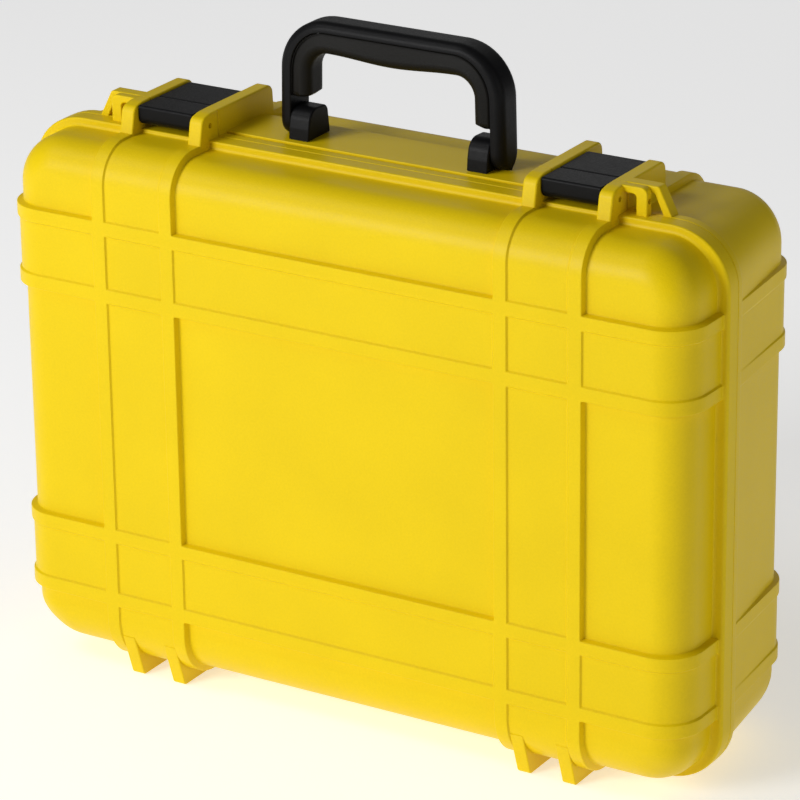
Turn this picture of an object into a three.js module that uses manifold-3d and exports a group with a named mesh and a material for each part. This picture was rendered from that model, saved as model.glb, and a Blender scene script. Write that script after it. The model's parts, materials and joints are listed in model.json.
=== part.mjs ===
// A hard plastic tool case with a lift-out tray. Millimetres, +Z up.
// The case stands on its hinge side: the lid faces -Y, the back is at +Y, the handle is on top.
// The origin is at the middle of the footprint, on the floor.

import * as THREE from 'three';
import { mergeVertices } from 'three/addons/utils/BufferGeometryUtils.js';
import Module from 'manifold-3d';

const wasm = await Module();
wasm.setup();

// ---- driving dimensions -------------------------------------------------------------------

// Case body. The rib level is the outermost skin; strips and panels are sunk below it.
// The sides lean in by a draft, per millimetre of distance from the parting plane.
const caseDepth = 161;
const lidDepth = 55.8;
const bodyWidth = 494;
const bodyHeight = 357.5;
const bodyCorner = 36;
const shoulderRadius = 26;
const heelRadius = 35;
const lidDraft = 0.02;
const baseDraft = 0.08;
const stripRecess = 1.4;
const panelRecess = 4.3;
const wall = 4;

// Ribs: two vertical and two horizontal pairs, about a centre a little below the body's.
const ribCentreDrop = 1.6;
const ribWidth = 9.8;
const ribPairX = 114.8;
const ribPairZ = 77.6;
const stripWidthX = 41.5;
const stripWidthZ = 35;

// Flanges on both sides of the parting plane.
const flangeSideReach = 3.4;
const flangeTopReach = 1.1;
const lidFlangeDepth = 11.5;
const baseFlangeDepth = 7.5;
const partingGap = 0.4;

// Seal ring in the lid's rim, and the bead on the base's rim that faces it.
const grooveInset = 1.2;
const grooveWidth = 3;
const grooveDepth = 4.6;
const sealWidth = 2.4;
const sealHeight = 2.9;
const beadWidth = 1.6;
const beadHeight = 1.2;

// Hinges. The fins and the feet behind them are what the case stands on.
const hingeRise = 4.9;
const hingeDrop = 0.4;
const knuckleRadius = 4;
const knuckleWeb = 16;
const knuckleWebRise = 8;
const hingePinRadius = 1.6;
const hingePinInset = 1.5;
const finWidth = 9.4;
const finGap = 0.6;
const footGap = 8;
const footChamfer = 4;
const prowInset = 3;
const prowHeight = 29;
const prowReach = 11.8;
const prowToe = 3;
const prowRound = 4;

// Latch ears, latches and their pins.
const earTopAboveFlange = 17.4;
const earFrontFromParting = 20.4;
const earNoseLength = 12;
const earNoseDrop = 6;
const earLean = 1.5;
const innerEarRear = 62.6;
const outerEarRear = 48;
const earRearRound = 6;
const latchSideGap = 0.5;
const latchTopBelowEar = 1.2;
const latchFrontFromParting = 14.7;
const latchRearFromParting = 43.9;
const latchLift = 3.4;
const latchPinFromFront = 5;
const latchPinBelowTop = 6.8;
const latchPinRadius = 1.5;
const leverPivotFromParting = 13.2;
const leverPivotBelowTop = 5;
const linkNoseRound = 5;
const linkTopChamfer = 1;
const linkFloor = 2.4;
const linkFloorLength = 13.4;
const linkFloorRear = 3.4;
const linkPostDepth = 3.1;
const leverNoseStart = 8.5;
const leverNoseLength = 5;
const leverNoseInset = 4;
const leverFront = 4.7;
const leverFrontPlate = 2.4;
const leverStep = 4.6;
const leverPlate = 6.2;
const leverHeelChamfer = 3;
const leverEdgeChamfer = 1;
const leverWeb = 6;
const leverWebDrop = 2.1;
const leverPinInset = 1;
const latchPinInset = 3.5;
const leverKnuckleRadius = 3.6;
const leverKnuckleHalf = 12;
const leverSweepRadius = 7.3;
const keeperDepth = 3.5;
const keeperClearance = 0.8;

// Padlock loops beside the outer latch ears.
const lidLoopReach = 16.2;
const lidLoopLeg = 7.4;
const lidLoopDepth = 6;
const baseLoopTopReach = 20.6;
const baseLoopFootReach = 31;
const baseLoopLeg = 6;
const baseLoopDepth = 9;
const loopBar = 4.6;
const loopFootSink = 3;
const loopSlopeInset = 3;
const loopCornerDrop = 2;
const loopHoleRadius = 1.8;

// Handle, its brackets and their platform.
const handleWidth = 162;
const handleSection = 22.2;
const frameLegThickness = 8.8;
const frameBarThickness = 6.6;
const gripLegThickness = 12.3;
const gripBarThickness = 14.2;
const gripBulge = 2.5;
const handleCorner = 33;
const handleRise = 66.3;
const handlePivotFromParting = 27.5;
const handlePivotAbovePlatform = 11.6;
const handleFootDrop = 11.1;
const handleFootRound = 10.6;
const archLeastCorner = 2;
const handleSocketFloor = 2;
const gripEndAbovePivot = 13.6;
const bracketWidth = 15;
const bracketFront = 14;
const bracketRear = 11.7;
const bracketDome = 8.8;
const bracketLean = 1.5;
const bracketNose = 3;
const handlePinRadius = 2.5;
const handlePinInset = 3;
const platformRise = 0.9;
const platformDepth = 43;
const platformGroove = 1.4;
const screwRadius = 2;
const screwHeadRadius = 4.2;
const screwHeadHeight = 2.8;
const screwGrip = 6;
const screwSpacing = 15;

// Tray and its dividers.
const trayClearance = 2.4;
const trayDepth = 42;
const trayWall = 2.5;
const trayCorner = 27;
const trayRecess = 1.5;
const restSize = 26;
const restInset = 20;
const dividerThickness = 2.4;
const dividerDrop = 4;
const dividerGuide = 3;
const guideReach = 6;

// Gaps between pieces that turn or slide and between pieces that only touch, and how far
// a joined feature is sunk into its neighbour.
const moving = 0.35;
const touching = 0.3;
const sunkIn = 1;

// How finely round surfaces are stepped, and how far cutting tools run past what they cut.
const holeSides = 16;
const cornerSteps = 4;
const shoulderSteps = 4;
const overshoot = 10;

// ---- levels worked out from them ----------------------------------------------------------

const flangeWidth = bodyWidth + 2 * flangeSideReach;
const flangeHeight = bodyHeight + 2 * flangeTopReach;
const hingeZ = hingeRise;
const midZ = hingeZ + hingeDrop + flangeHeight / 2;
const ribMidZ = midZ - ribCentreDrop;
const frontY = -caseDepth / 2;
const backY = caseDepth / 2;
const partingY = frontY + lidDepth;
const flangeTopZ = midZ + flangeHeight / 2;
const cavityWidth = bodyWidth - 2 * (panelRecess + wall);
const cavityHeight = bodyHeight - 2 * (panelRecess + wall);
const cavityCorner = bodyCorner - panelRecess - wall;
const earTopZ = flangeTopZ + earTopAboveFlange;
const earInnerX = ribPairX + ribWidth;
const latchMidX = earInnerX + stripWidthX / 2;
const latchHalf = stripWidthX / 2 - latchSideGap;
const latchTopZ = earTopZ - latchTopBelowEar;
const latchFrontY = partingY - latchFrontFromParting;
const latchPinY = latchFrontY + latchPinFromFront;
const latchPinZ = latchTopZ - latchPinBelowTop;
const latchBottomZ = flangeTopZ + latchLift;
const leverPivotY = partingY + leverPivotFromParting;
const leverPivotZ = latchTopZ - leverPivotBelowTop;
const earPairWidth = stripWidthX + 2 * ribWidth;
const platformTopZ = flangeTopZ + platformRise;
const handlePivotY = partingY + handlePivotFromParting;
const handlePivotZ = platformTopZ + handlePivotAbovePlatform;
const bracketOuterX = handleWidth / 2 - frameLegThickness - moving;
const trayNarrowing = baseDraft * (trayRecess + trayDepth);
const trayWidth = cavityWidth - 2 * (trayClearance + trayNarrowing);
const trayHeight = cavityHeight - 2 * (screwHeadHeight + trayClearance);
const trayFrontY = partingY + trayRecess;
const finRelief = hingeRise + finGap;
const sides = [['left', -1], ['right', 1]];

// ---- materials ----------------------------------------------------------------------------

const yellowShell = new THREE.MeshStandardMaterial({ color: 0xf2c40c, roughness: 0.5, metalness: 0 });
const blackPlastic = new THREE.MeshStandardMaterial({ color: 0x17181a, roughness: 0.45, metalness: 0 });
const gripRubber = new THREE.MeshStandardMaterial({ color: 0x1d1d1c, roughness: 0.7, metalness: 0 });
const sealRubber = new THREE.MeshStandardMaterial({ color: 0x2a2a2b, roughness: 0.8, metalness: 0 });
const trayPlastic = new THREE.MeshStandardMaterial({ color: 0x2c2e31, roughness: 0.6, metalness: 0 });
const steel = new THREE.MeshStandardMaterial({ color: 0xa9acb0, roughness: 0.35, metalness: 1 });

// ---- helpers ------------------------------------------------------------------------------

// A closed three.js geometry as a solid that can be cut and joined.
function solid(geometry) {
  geometry.deleteAttribute('normal');
  geometry.deleteAttribute('uv');
  const merged = mergeVertices(geometry, 1e-4);
  return new wasm.Manifold(new wasm.Mesh({
    numProp: 3,
    vertProperties: new Float32Array(merged.attributes.position.array),
    triVerts: new Uint32Array(merged.index.array),
  }));
}

function join(solids) {
  return solids.reduce((all, one) => all.add(one));
}

function cut(body, tools) {
  return tools.reduce((left, tool) => left.subtract(tool), body);
}

// A solid back as a three.js geometry.
function geometryOf(body) {
  const mesh = body.getMesh();
  const geometry = new THREE.BufferGeometry();
  geometry.setAttribute('position', new THREE.BufferAttribute(mesh.vertProperties, 3));
  geometry.setIndex(new THREE.BufferAttribute(mesh.triVerts, 1));
  geometry.computeVertexNormals();
  return geometry;
}

const object = new THREE.Group();

function part(name, body, material) {
  const mesh = new THREE.Mesh(geometryOf(body), material);
  mesh.name = name;
  object.add(mesh);
}

function box(x0, x1, y0, y1, z0, z1) {
  const geometry = new THREE.BoxGeometry(x1 - x0, y1 - y0, z1 - z0);
  geometry.translate((x0 + x1) / 2, (y0 + y1) / 2, (z0 + z1) / 2);
  return solid(geometry);
}

// A cylinder along X from x0 to x1.
function rodX(x0, x1, y, z, radius) {
  const geometry = new THREE.CylinderGeometry(radius, radius, x1 - x0, holeSides);
  geometry.rotateZ(Math.PI / 2);
  geometry.translate((x0 + x1) / 2, y, z);
  return solid(geometry);
}

// A cylinder along Z from z0 to z1.
function rodZ(x, y, z0, z1, radius) {
  const geometry = new THREE.CylinderGeometry(radius, radius, z1 - z0, holeSides);
  geometry.rotateX(Math.PI / 2);
  geometry.translate(x, y, (z0 + z1) / 2);
  return solid(geometry);
}

// A rectangle with round corners about the origin, as a shape.
function roundedRectangle(width, height, corner) {
  const w = width / 2;
  const h = height / 2;
  const shape = new THREE.Shape();
  shape.moveTo(-w + corner, -h);
  shape.lineTo(w - corner, -h);
  shape.absarc(w - corner, -h + corner, corner, -Math.PI / 2, 0, false);
  shape.lineTo(w, h - corner);
  shape.absarc(w - corner, h - corner, corner, 0, Math.PI / 2, false);
  shape.lineTo(-w + corner, h);
  shape.absarc(-w + corner, h - corner, corner, Math.PI / 2, Math.PI, false);
  shape.lineTo(-w, -h + corner);
  shape.absarc(-w + corner, -h + corner, corner, Math.PI, Math.PI * 1.5, false);
  return shape;
}

// An outline in X-Z carried along Y from y0 to y1, with its own Z zero at height z.
function alongY(shape, y0, y1, z) {
  const geometry = new THREE.ExtrudeGeometry(shape, {
    depth: y1 - y0, bevelEnabled: false, curveSegments: cornerSteps,
  });
  geometry.rotateX(Math.PI / 2);
  geometry.translate(0, y1, z);
  return solid(geometry);
}

// An outline in Y-Z carried along X from x0 to x1.
function alongX(shape, x0, x1) {
  const geometry = new THREE.ExtrudeGeometry(shape, {
    depth: x1 - x0, bevelEnabled: false, curveSegments: cornerSteps,
  });
  geometry.rotateY(Math.PI / 2);
  geometry.rotateX(Math.PI / 2);
  geometry.translate(x0, 0, 0);
  return solid(geometry);
}

// The space inside the larger rounding where the front and the back meet the underside.
function aboveHeel(sunk) {
  const radius = heelRadius - sunk;
  const low = midZ - bodyHeight / 2 + sunk;
  const front = frontY + sunk;
  const rear = backY - sunk;
  const shape = new THREE.Shape();
  shape.moveTo(rear + overshoot, midZ + bodyHeight);
  shape.lineTo(front - overshoot, midZ + bodyHeight);
  shape.lineTo(front - overshoot, low + radius);
  shape.absarc(front + radius, low + radius, radius, Math.PI, Math.PI * 1.5, false);
  shape.lineTo(front + radius, low - overshoot);
  shape.lineTo(rear - radius, low - overshoot);
  shape.absarc(rear - radius, low + radius, radius, Math.PI * 1.5, Math.PI * 2, false);
  shape.lineTo(rear + overshoot, low + radius);
  return alongX(shape, -bodyWidth, bodyWidth);
}

// The whole case's rounded body, sunk below the rib level, with a width at the parting plane.
// Its sides lean in with distance from that plane, to the front (-1) or to the back (1).
function caseBody(width, sunk, draft, towards) {
  const shoulder = shoulderRadius - sunk;
  const outline = roundedRectangle(width, bodyHeight - 2 * sunk, bodyCorner - sunk);
  const geometry = new THREE.ExtrudeGeometry(outline, {
    depth: caseDepth - 2 * shoulderRadius,
    bevelEnabled: true,
    bevelThickness: shoulder,
    bevelSize: shoulder,
    bevelOffset: -shoulder,
    bevelSegments: shoulderSteps,
    curveSegments: cornerSteps,
  });
  geometry.rotateX(Math.PI / 2);
  geometry.translate(0, backY - shoulderRadius, midZ);
  const position = geometry.attributes.position;
  for (let i = 0; i < position.count; i += 1) {
    const distance = towards * (position.getY(i) - partingY);
    position.setX(i, position.getX(i) * (1 - 2 * draft * distance / width));
  }
  return solid(geometry).intersect(aboveHeel(sunk));
}

// The lid's skin, sunk by the same amount all round.
function lidSkin(sunk) {
  return caseBody(bodyWidth - 2 * sunk, sunk, lidDraft, -1);
}

// The base's skin. Its sides start at the rib level beside the flange and sink as they go back.
function baseSkin(sunk) {
  const draft = baseDraft + sunk / (caseDepth - lidDepth);
  return caseBody(bodyWidth, sunk, draft, 1);
}

// The hollow, which leaves a wall inside the panels.
function cavity(draft, towards) {
  return caseBody(cavityWidth, panelRecess + wall, draft, towards);
}

// Slabs through the whole case at both pairs of one direction, from inner to outer distance.
function verticalSlabs(inner, outer) {
  return join(sides.map(([, side]) => box(
    Math.min(side * inner, side * outer), Math.max(side * inner, side * outer),
    frontY - overshoot, backY + overshoot, midZ - bodyHeight, midZ + bodyHeight,
  )));
}

function horizontalSlabs(inner, outer) {
  return join(sides.map(([, side]) => box(
    -bodyWidth, bodyWidth, frontY - overshoot, backY + overshoot,
    ribMidZ + Math.min(side * inner, side * outer), ribMidZ + Math.max(side * inner, side * outer),
  )));
}

// A skin with its panels, raised strips and ribs.
function ribbed(skin) {
  const outerRibX = ribPairX + ribWidth + stripWidthX;
  const outerRibZ = ribPairZ + ribWidth + stripWidthZ;
  const ribs = join([
    verticalSlabs(ribPairX, ribPairX + ribWidth),
    verticalSlabs(outerRibX, outerRibX + ribWidth),
    horizontalSlabs(ribPairZ, ribPairZ + ribWidth),
    horizontalSlabs(outerRibZ, outerRibZ + ribWidth),
  ]);
  const strips = verticalSlabs(ribPairX, outerRibX).add(horizontalSlabs(ribPairZ, outerRibZ));
  return join([
    skin(panelRecess),
    skin(stripRecess).intersect(strips),
    skin(0).intersect(ribs),
  ]);
}

function frame(width, height, corner, ringWidth, y0, y1) {
  const outer = alongY(roundedRectangle(width, height, corner), y0, y1, midZ);
  const inner = alongY(
    roundedRectangle(width - 2 * ringWidth, height - 2 * ringWidth, corner - ringWidth),
    y0 - overshoot, y1 + overshoot, midZ,
  );
  return outer.subtract(inner);
}

function flange(y0, y1) {
  const corner = bodyCorner + flangeSideReach / 2;
  return alongY(roundedRectangle(flangeWidth, flangeHeight, corner), y0, y1, midZ);
}

// A ring that runs round the rim, at a distance outside the cavity's edge.
function rimRing(inset, width, y0, y1) {
  const reach = inset + width;
  return frame(
    cavityWidth + 2 * reach, cavityHeight + 2 * reach, cavityCorner + reach, width, y0, y1,
  );
}

// The two X positions of one latch's ears, or of one hinge's fins, as [x0, x1] pairs.
function earSpans(side) {
  const near = [side * ribPairX, side * earInnerX];
  const far = [side * (earInnerX + stripWidthX), side * (ribPairX + earPairWidth)];
  return [near, far].map((span) => span.sort((a, b) => a - b));
}

function finSpans(side) {
  const near = [side * earInnerX, side * (earInnerX + finWidth)];
  const far = [side * (earInnerX + stripWidthX - finWidth), side * (earInnerX + stripWidthX)];
  return [near, far].map((span) => span.sort((a, b) => a - b));
}

function knuckleSpan(side) {
  const clear = finWidth + finGap;
  const ends = [side * (earInnerX + clear), side * (earInnerX + stripWidthX - clear)];
  return ends.sort((a, b) => a - b);
}

// ---- base -----------------------------------------------------------------------------------

// Ears between which the latch lies, with a rounded rear end.
function baseEar([x0, x1], rearFromParting) {
  const shape = new THREE.Shape();
  const front = partingY + partingGap / 2;
  const rear = partingY + rearFromParting;
  const roundZ = earTopZ - earRearRound;
  shape.moveTo(front, flangeTopZ - wall);
  shape.lineTo(rear + earLean, flangeTopZ - wall);
  shape.lineTo(rear, roundZ);
  shape.absarc(rear - earRearRound, roundZ, earRearRound, 0, Math.PI / 2, false);
  shape.lineTo(front, earTopZ);
  return alongX(shape, x0, x1);
}

// Adds the curved end of a fin or a foot to its outline, from the shoulder down to the floor.
// faceY is the case's front or back, and inward the direction from it to the parting plane.
function addProw(shape, faceY, inward) {
  const end = faceY + inward * prowReach;
  shape.lineTo(faceY + inward * prowInset, prowHeight);
  shape.quadraticCurveTo(end - inward * prowRound, prowHeight / 2, end, prowToe);
  shape.quadraticCurveTo(end + inward * prowRound / 2, 0, end + inward * prowRound, 0);
}

// A foot behind the hinge: flat underneath, with a prow up the rear shoulder.
function baseFoot([x0, x1]) {
  const shape = new THREE.Shape();
  const front = partingY + footGap;
  shape.moveTo(front, footChamfer);
  shape.lineTo(front + footChamfer / 2, hingeZ + finRelief);
  shape.lineTo(backY - heelRadius, prowHeight);
  addProw(shape, backY, -1);
  shape.lineTo(front + footChamfer, 0);
  return alongX(shape, x0, x1);
}

// The base's hinge knuckle between the lid's two fins, carried on a web.
function baseKnuckle([x0, x1]) {
  const shape = new THREE.Shape();
  shape.absarc(partingY, hingeZ, knuckleRadius, Math.PI / 2, Math.PI * 1.5, false);
  shape.lineTo(partingY + knuckleWeb, hingeZ - knuckleRadius);
  shape.lineTo(partingY + knuckleWeb, hingeZ + knuckleWebRise);
  shape.lineTo(partingY + partingGap / 2, hingeZ + knuckleWebRise);
  return alongX(shape, x0, x1);
}

// A trapezoid loop for a padlock outside the outer ear.
function baseLoop(side) {
  const inner = ribPairX + earPairWidth - sunkIn;
  const footZ = flangeTopZ - loopFootSink;
  const legTop = inner + sunkIn + baseLoopTopReach;
  const legFoot = inner + sunkIn + baseLoopFootReach;
  const shape = new THREE.Shape();
  shape.moveTo(side * inner, earTopZ);
  shape.lineTo(side * legTop, earTopZ);
  shape.lineTo(side * legFoot, footZ);
  shape.lineTo(side * (legFoot - baseLoopLeg), footZ);
  shape.lineTo(side * (legTop - loopSlopeInset), earTopZ - loopBar);
  shape.lineTo(side * inner, earTopZ - loopBar);
  const front = partingY + partingGap / 2;
  return alongY(shape, front, front + baseLoopDepth, 0);
}

// The raised platform under the handle.
function handlePlatform() {
  const front = partingY + baseFlangeDepth + platformGroove;
  const reach = ribPairX + sunkIn;
  return box(-reach, reach, front, front + platformDepth, flangeTopZ - 2 * wall, platformTopZ);
}

// A low bar between the base's ears that the lever's nose closes over.
function keeper(side) {
  const reach = earInnerX + stripWidthX + sunkIn;
  const ends = [side * (earInnerX - sunkIn), side * reach].sort((a, b) => a - b);
  const rear = leverPivotY + leverNoseStart - keeperClearance;
  return box(
    ends[0], ends[1], rear - keeperDepth, rear, flangeTopZ - wall, latchBottomZ - keeperClearance,
  );
}

// Corner posts inside the base that carry the tray.
function trayRests() {
  const y0 = trayFrontY + trayDepth + touching;
  const outerX = trayWidth / 2 - restInset;
  const outerZ = trayHeight / 2 - restInset;
  const posts = [];
  for (const sideX of [-1, 1]) {
    for (const sideZ of [-1, 1]) {
      const x = sideX * (outerX - restSize / 2);
      const z = midZ + sideZ * (outerZ - restSize / 2);
      const half = restSize / 2;
      posts.push(box(x - half, x + half, y0, backY - panelRecess - wall / 2, z - half, z + half));
    }
  }
  return join(posts);
}

function screwPositions(side) {
  const x = side * (bracketOuterX - bracketWidth / 2);
  const middle = handlePivotY - (bracketFront - bracketRear) / 2;
  return [['front', middle - screwSpacing / 2], ['rear', middle + screwSpacing / 2]]
    .map(([name, y]) => ({ name, x, y }));
}

function baseShell() {
  const front = partingY + partingGap / 2;
  const half = box(
    -bodyWidth, bodyWidth, front, backY + overshoot, midZ - bodyHeight, midZ + bodyHeight,
  );
  const outer = join([
    ribbed(baseSkin).intersect(half),
    flange(front, partingY + baseFlangeDepth),
    handlePlatform(),
    ...sides.flatMap(([, side]) => {
      const [innerEar, outerEar] = earSpans(side);
      return [
        baseEar(innerEar, innerEarRear), baseEar(outerEar, outerEarRear),
        ...finSpans(side).map(baseFoot), baseKnuckle(knuckleSpan(side)),
        keeper(side), baseLoop(side),
      ];
    }),
  ]);
  const beadInset = grooveInset + (grooveWidth - beadWidth) / 2;
  const bead = rimRing(beadInset, beadWidth, front - partingGap - beadHeight, front + sunkIn);
  const bores = sides.flatMap(([, side]) => [
    hingeBore(side),
    ...screwPositions(side).map(({ x, y }) => rodZ(
      x, y, midZ, platformTopZ + overshoot, screwRadius + moving,
    )),
    ...finSpans(side).map(roomForFin),
  ]);
  return cut(join([cut(outer, [cavity(baseDraft, 1)]), bead, trayRests()]), bores);
}

// Room in the base for a lid fin as it turns about the hinge.
function roomForFin([x0, x1]) {
  return rodX(x0 - finGap, x1 + finGap, partingY, hingeZ, finRelief);
}

function hingeBore(side) {
  const inset = hingePinInset - touching;
  const reach = [side * (earInnerX + inset), side * (earInnerX + stripWidthX - inset)];
  reach.sort((a, b) => a - b);
  return rodX(reach[0], reach[1], partingY, hingeZ, hingePinRadius + moving);
}

// A small hole through a padlock loop's outer leg.
function loopHole(side, y, reach) {
  const start = ribPairX + earPairWidth + lidLoopDepth;
  const ends = [side * start, side * (start + reach)].sort((a, b) => a - b);
  return rodX(ends[0], ends[1], y, flangeTopZ + earTopAboveFlange / 2, loopHoleRadius);
}

// ---- lid --------------------------------------------------------------------------------------

// The lid's part of a latch ear: a steep front, then level to the parting plane.
function lidEar([x0, x1]) {
  const shape = new THREE.Shape();
  const front = partingY - earFrontFromParting;
  const rear = partingY - partingGap / 2;
  shape.moveTo(rear, flangeTopZ - wall);
  shape.lineTo(rear, earTopZ);
  shape.lineTo(front + earNoseLength, earTopZ);
  shape.quadraticCurveTo(
    front + earNoseLength / 3, earTopZ, front + earLean, earTopZ - earNoseDrop,
  );
  shape.lineTo(front - earLean, flangeTopZ - wall);
  return alongX(shape, x0, x1);
}

function lidLoop(side) {
  const inner = ribPairX + earPairWidth - sunkIn;
  const outer = inner + sunkIn + lidLoopReach;
  const footZ = flangeTopZ - loopFootSink;
  const shape = new THREE.Shape();
  shape.moveTo(side * inner, earTopZ);
  shape.lineTo(side * (outer - loopCornerDrop), earTopZ);
  shape.lineTo(side * outer, earTopZ - loopCornerDrop);
  shape.lineTo(side * outer, footZ);
  shape.lineTo(side * (outer - lidLoopLeg), footZ);
  shape.lineTo(side * (outer - lidLoopLeg), earTopZ - loopBar);
  shape.lineTo(side * inner, earTopZ - loopBar);
  const rear = partingY - partingGap / 2;
  return alongY(shape, rear - lidLoopDepth, rear, 0);
}

// A hinge fin: a curved prow in front, level underneath and a round end at the hinge.
function lidFin([x0, x1]) {
  const shape = new THREE.Shape();
  shape.moveTo(partingY, 0);
  shape.absarc(partingY, hingeZ, hingeRise, -Math.PI / 2, Math.PI / 2, false);
  shape.lineTo(partingY - partingGap, hingeZ + 2 * hingeRise);
  shape.lineTo(frontY + heelRadius / 2, prowHeight);
  addProw(shape, frontY, 1);
  return alongX(shape, x0, x1);
}

function lidShell() {
  const rear = partingY - partingGap / 2;
  const half = box(
    -bodyWidth, bodyWidth, frontY - overshoot, rear, midZ - bodyHeight, midZ + bodyHeight,
  );
  const outer = join([
    ribbed(lidSkin).intersect(half),
    flange(partingY - lidFlangeDepth, rear),
    ...sides.flatMap(([, side]) => [
      ...earSpans(side).map(lidEar), ...finSpans(side).map(lidFin), lidLoop(side),
    ]),
  ]);
  const groove = rimRing(grooveInset, grooveWidth, partingY - grooveDepth, partingY + overshoot);
  const cuts = sides.flatMap(([, side]) => [
    hingeBore(side),
    knuckleRelief(side),
    latchPinBore(side),
    loopHole(side, partingY - lidLoopDepth / 2, lidLoopReach),
  ]);
  return cut(outer, [cavity(lidDraft, -1), groove, ...cuts]);
}

function knuckleRelief(side) {
  const [x0, x1] = knuckleSpan(side);
  return rodX(x0 - finGap, x1 + finGap, partingY, hingeZ, knuckleRadius + finGap);
}

function latchPinBore(side) {
  const ends = [side * (ribPairX - sunkIn), side * (ribPairX + earPairWidth + sunkIn)];
  ends.sort((a, b) => a - b);
  return rodX(ends[0], ends[1], latchPinY, latchPinZ, latchPinRadius + moving);
}

function lidSeal() {
  const inset = grooveInset + (grooveWidth - sealWidth) / 2;
  const y0 = partingY - grooveDepth + touching;
  return rimRing(inset, sealWidth, y0, y0 + sealHeight);
}

// ---- latches ------------------------------------------------------------------------------------

// The latch link: a block on the lid's pin, with a thin floor and two posts for the lever's pin.
function latchLink(side) {
  const x0 = side * latchMidX - latchHalf;
  const x1 = side * latchMidX + latchHalf;
  const noseY = latchFrontY + linkNoseRound;
  const noseZ = latchBottomZ + linkNoseRound;
  const shape = new THREE.Shape();
  shape.moveTo(noseY, latchBottomZ);
  shape.lineTo(leverPivotY, latchBottomZ);
  shape.lineTo(leverPivotY, latchTopZ);
  shape.lineTo(latchFrontY + linkTopChamfer, latchTopZ);
  shape.lineTo(latchFrontY, latchTopZ - linkTopChamfer);
  shape.lineTo(latchFrontY, noseZ);
  shape.absarc(noseY, noseZ, linkNoseRound, Math.PI, Math.PI * 1.5, false);
  const block = alongX(shape, x0, x1).subtract(
    rodX(x0 - overshoot, x1 + overshoot, leverPivotY, leverPivotZ, leverSweepRadius),
  );
  const rear = leverPivotY + linkFloorRear;
  const floor = box(x0, x1, rear - linkFloorLength, rear, latchBottomZ, latchBottomZ + linkFloor);
  const postWidth = latchHalf - leverKnuckleHalf;
  const posts = [[x0, x0 + postWidth], [x1 - postWidth, x1]].flatMap(([a, b]) => [
    rodX(a, b, leverPivotY, leverPivotZ, leverKnuckleRadius),
    box(
      a, b, leverPivotY - linkPostDepth, leverPivotY + linkPostDepth,
      latchBottomZ + linkFloor / 2, leverPivotZ,
    ),
  ]);
  return cut(join([block, floor, ...posts]), [
    rodX(x0 - overshoot, x1 + overshoot, leverPivotY, leverPivotZ, latchPinRadius + moving),
    rodX(x0 - overshoot, x1 + overshoot, latchPinY, latchPinZ, latchPinRadius + moving),
  ]);
}

// The lever: a plate over the link's posts, one middle knuckle, and a nose underneath.
function latchLever(side) {
  const x0 = side * latchMidX - latchHalf;
  const x1 = side * latchMidX + latchHalf;
  const rear = partingY + latchRearFromParting;
  const front = leverPivotY - leverFront;
  const step = leverPivotY + leverStep;
  const bottomZ = latchTopZ - leverPlate;
  const shape = new THREE.Shape();
  shape.moveTo(front, latchTopZ);
  shape.lineTo(front, latchTopZ - leverFrontPlate);
  shape.lineTo(step, latchTopZ - leverFrontPlate);
  shape.lineTo(step, bottomZ);
  shape.lineTo(rear - leverHeelChamfer, bottomZ);
  shape.lineTo(rear, bottomZ + leverHeelChamfer);
  shape.lineTo(rear, latchTopZ - leverEdgeChamfer);
  shape.lineTo(rear - leverEdgeChamfer, latchTopZ);
  const noseY = leverPivotY + leverNoseStart;
  const nose = box(
    x0 + leverNoseInset, x1 - leverNoseInset, noseY, noseY + leverNoseLength,
    latchBottomZ, latchTopZ - leverPlate / 2,
  );
  const half = leverKnuckleHalf - moving;
  const a = side * latchMidX - half;
  const b = side * latchMidX + half;
  const knuckle = join([
    rodX(a, b, leverPivotY, leverPivotZ, leverKnuckleRadius),
    box(
      a, b, leverPivotY, leverPivotY + leverWeb, leverPivotZ - leverWebDrop,
      latchTopZ - leverEdgeChamfer,
    ),
  ]);
  const roomForPosts = [[x0 - overshoot, a], [b, x1 + overshoot]].map(([from, to]) => rodX(
    from, to, leverPivotY, leverPivotZ, leverKnuckleRadius + moving,
  ));
  return cut(join([cut(alongX(shape, x0, x1), roomForPosts), nose, knuckle]), [
    rodX(x0 - overshoot, x1 + overshoot, leverPivotY, leverPivotZ, latchPinRadius + moving),
  ]);
}

function latchPin(side) {
  const ends = [
    side * (ribPairX + latchPinInset), side * (ribPairX + earPairWidth - latchPinInset),
  ];
  ends.sort((a, b) => a - b);
  return rodX(ends[0], ends[1], latchPinY, latchPinZ, latchPinRadius);
}

function leverPin(side) {
  const half = latchHalf - leverPinInset;
  return rodX(
    side * latchMidX - half, side * latchMidX + half, leverPivotY, leverPivotZ, latchPinRadius,
  );
}

function hingePin(side) {
  const ends = [
    side * (earInnerX + hingePinInset), side * (earInnerX + stripWidthX - hingePinInset),
  ].sort((a, b) => a - b);
  return rodX(ends[0], ends[1], partingY, hingeZ, hingePinRadius);
}

// ---- handle ---------------------------------------------------------------------------------------

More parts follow.
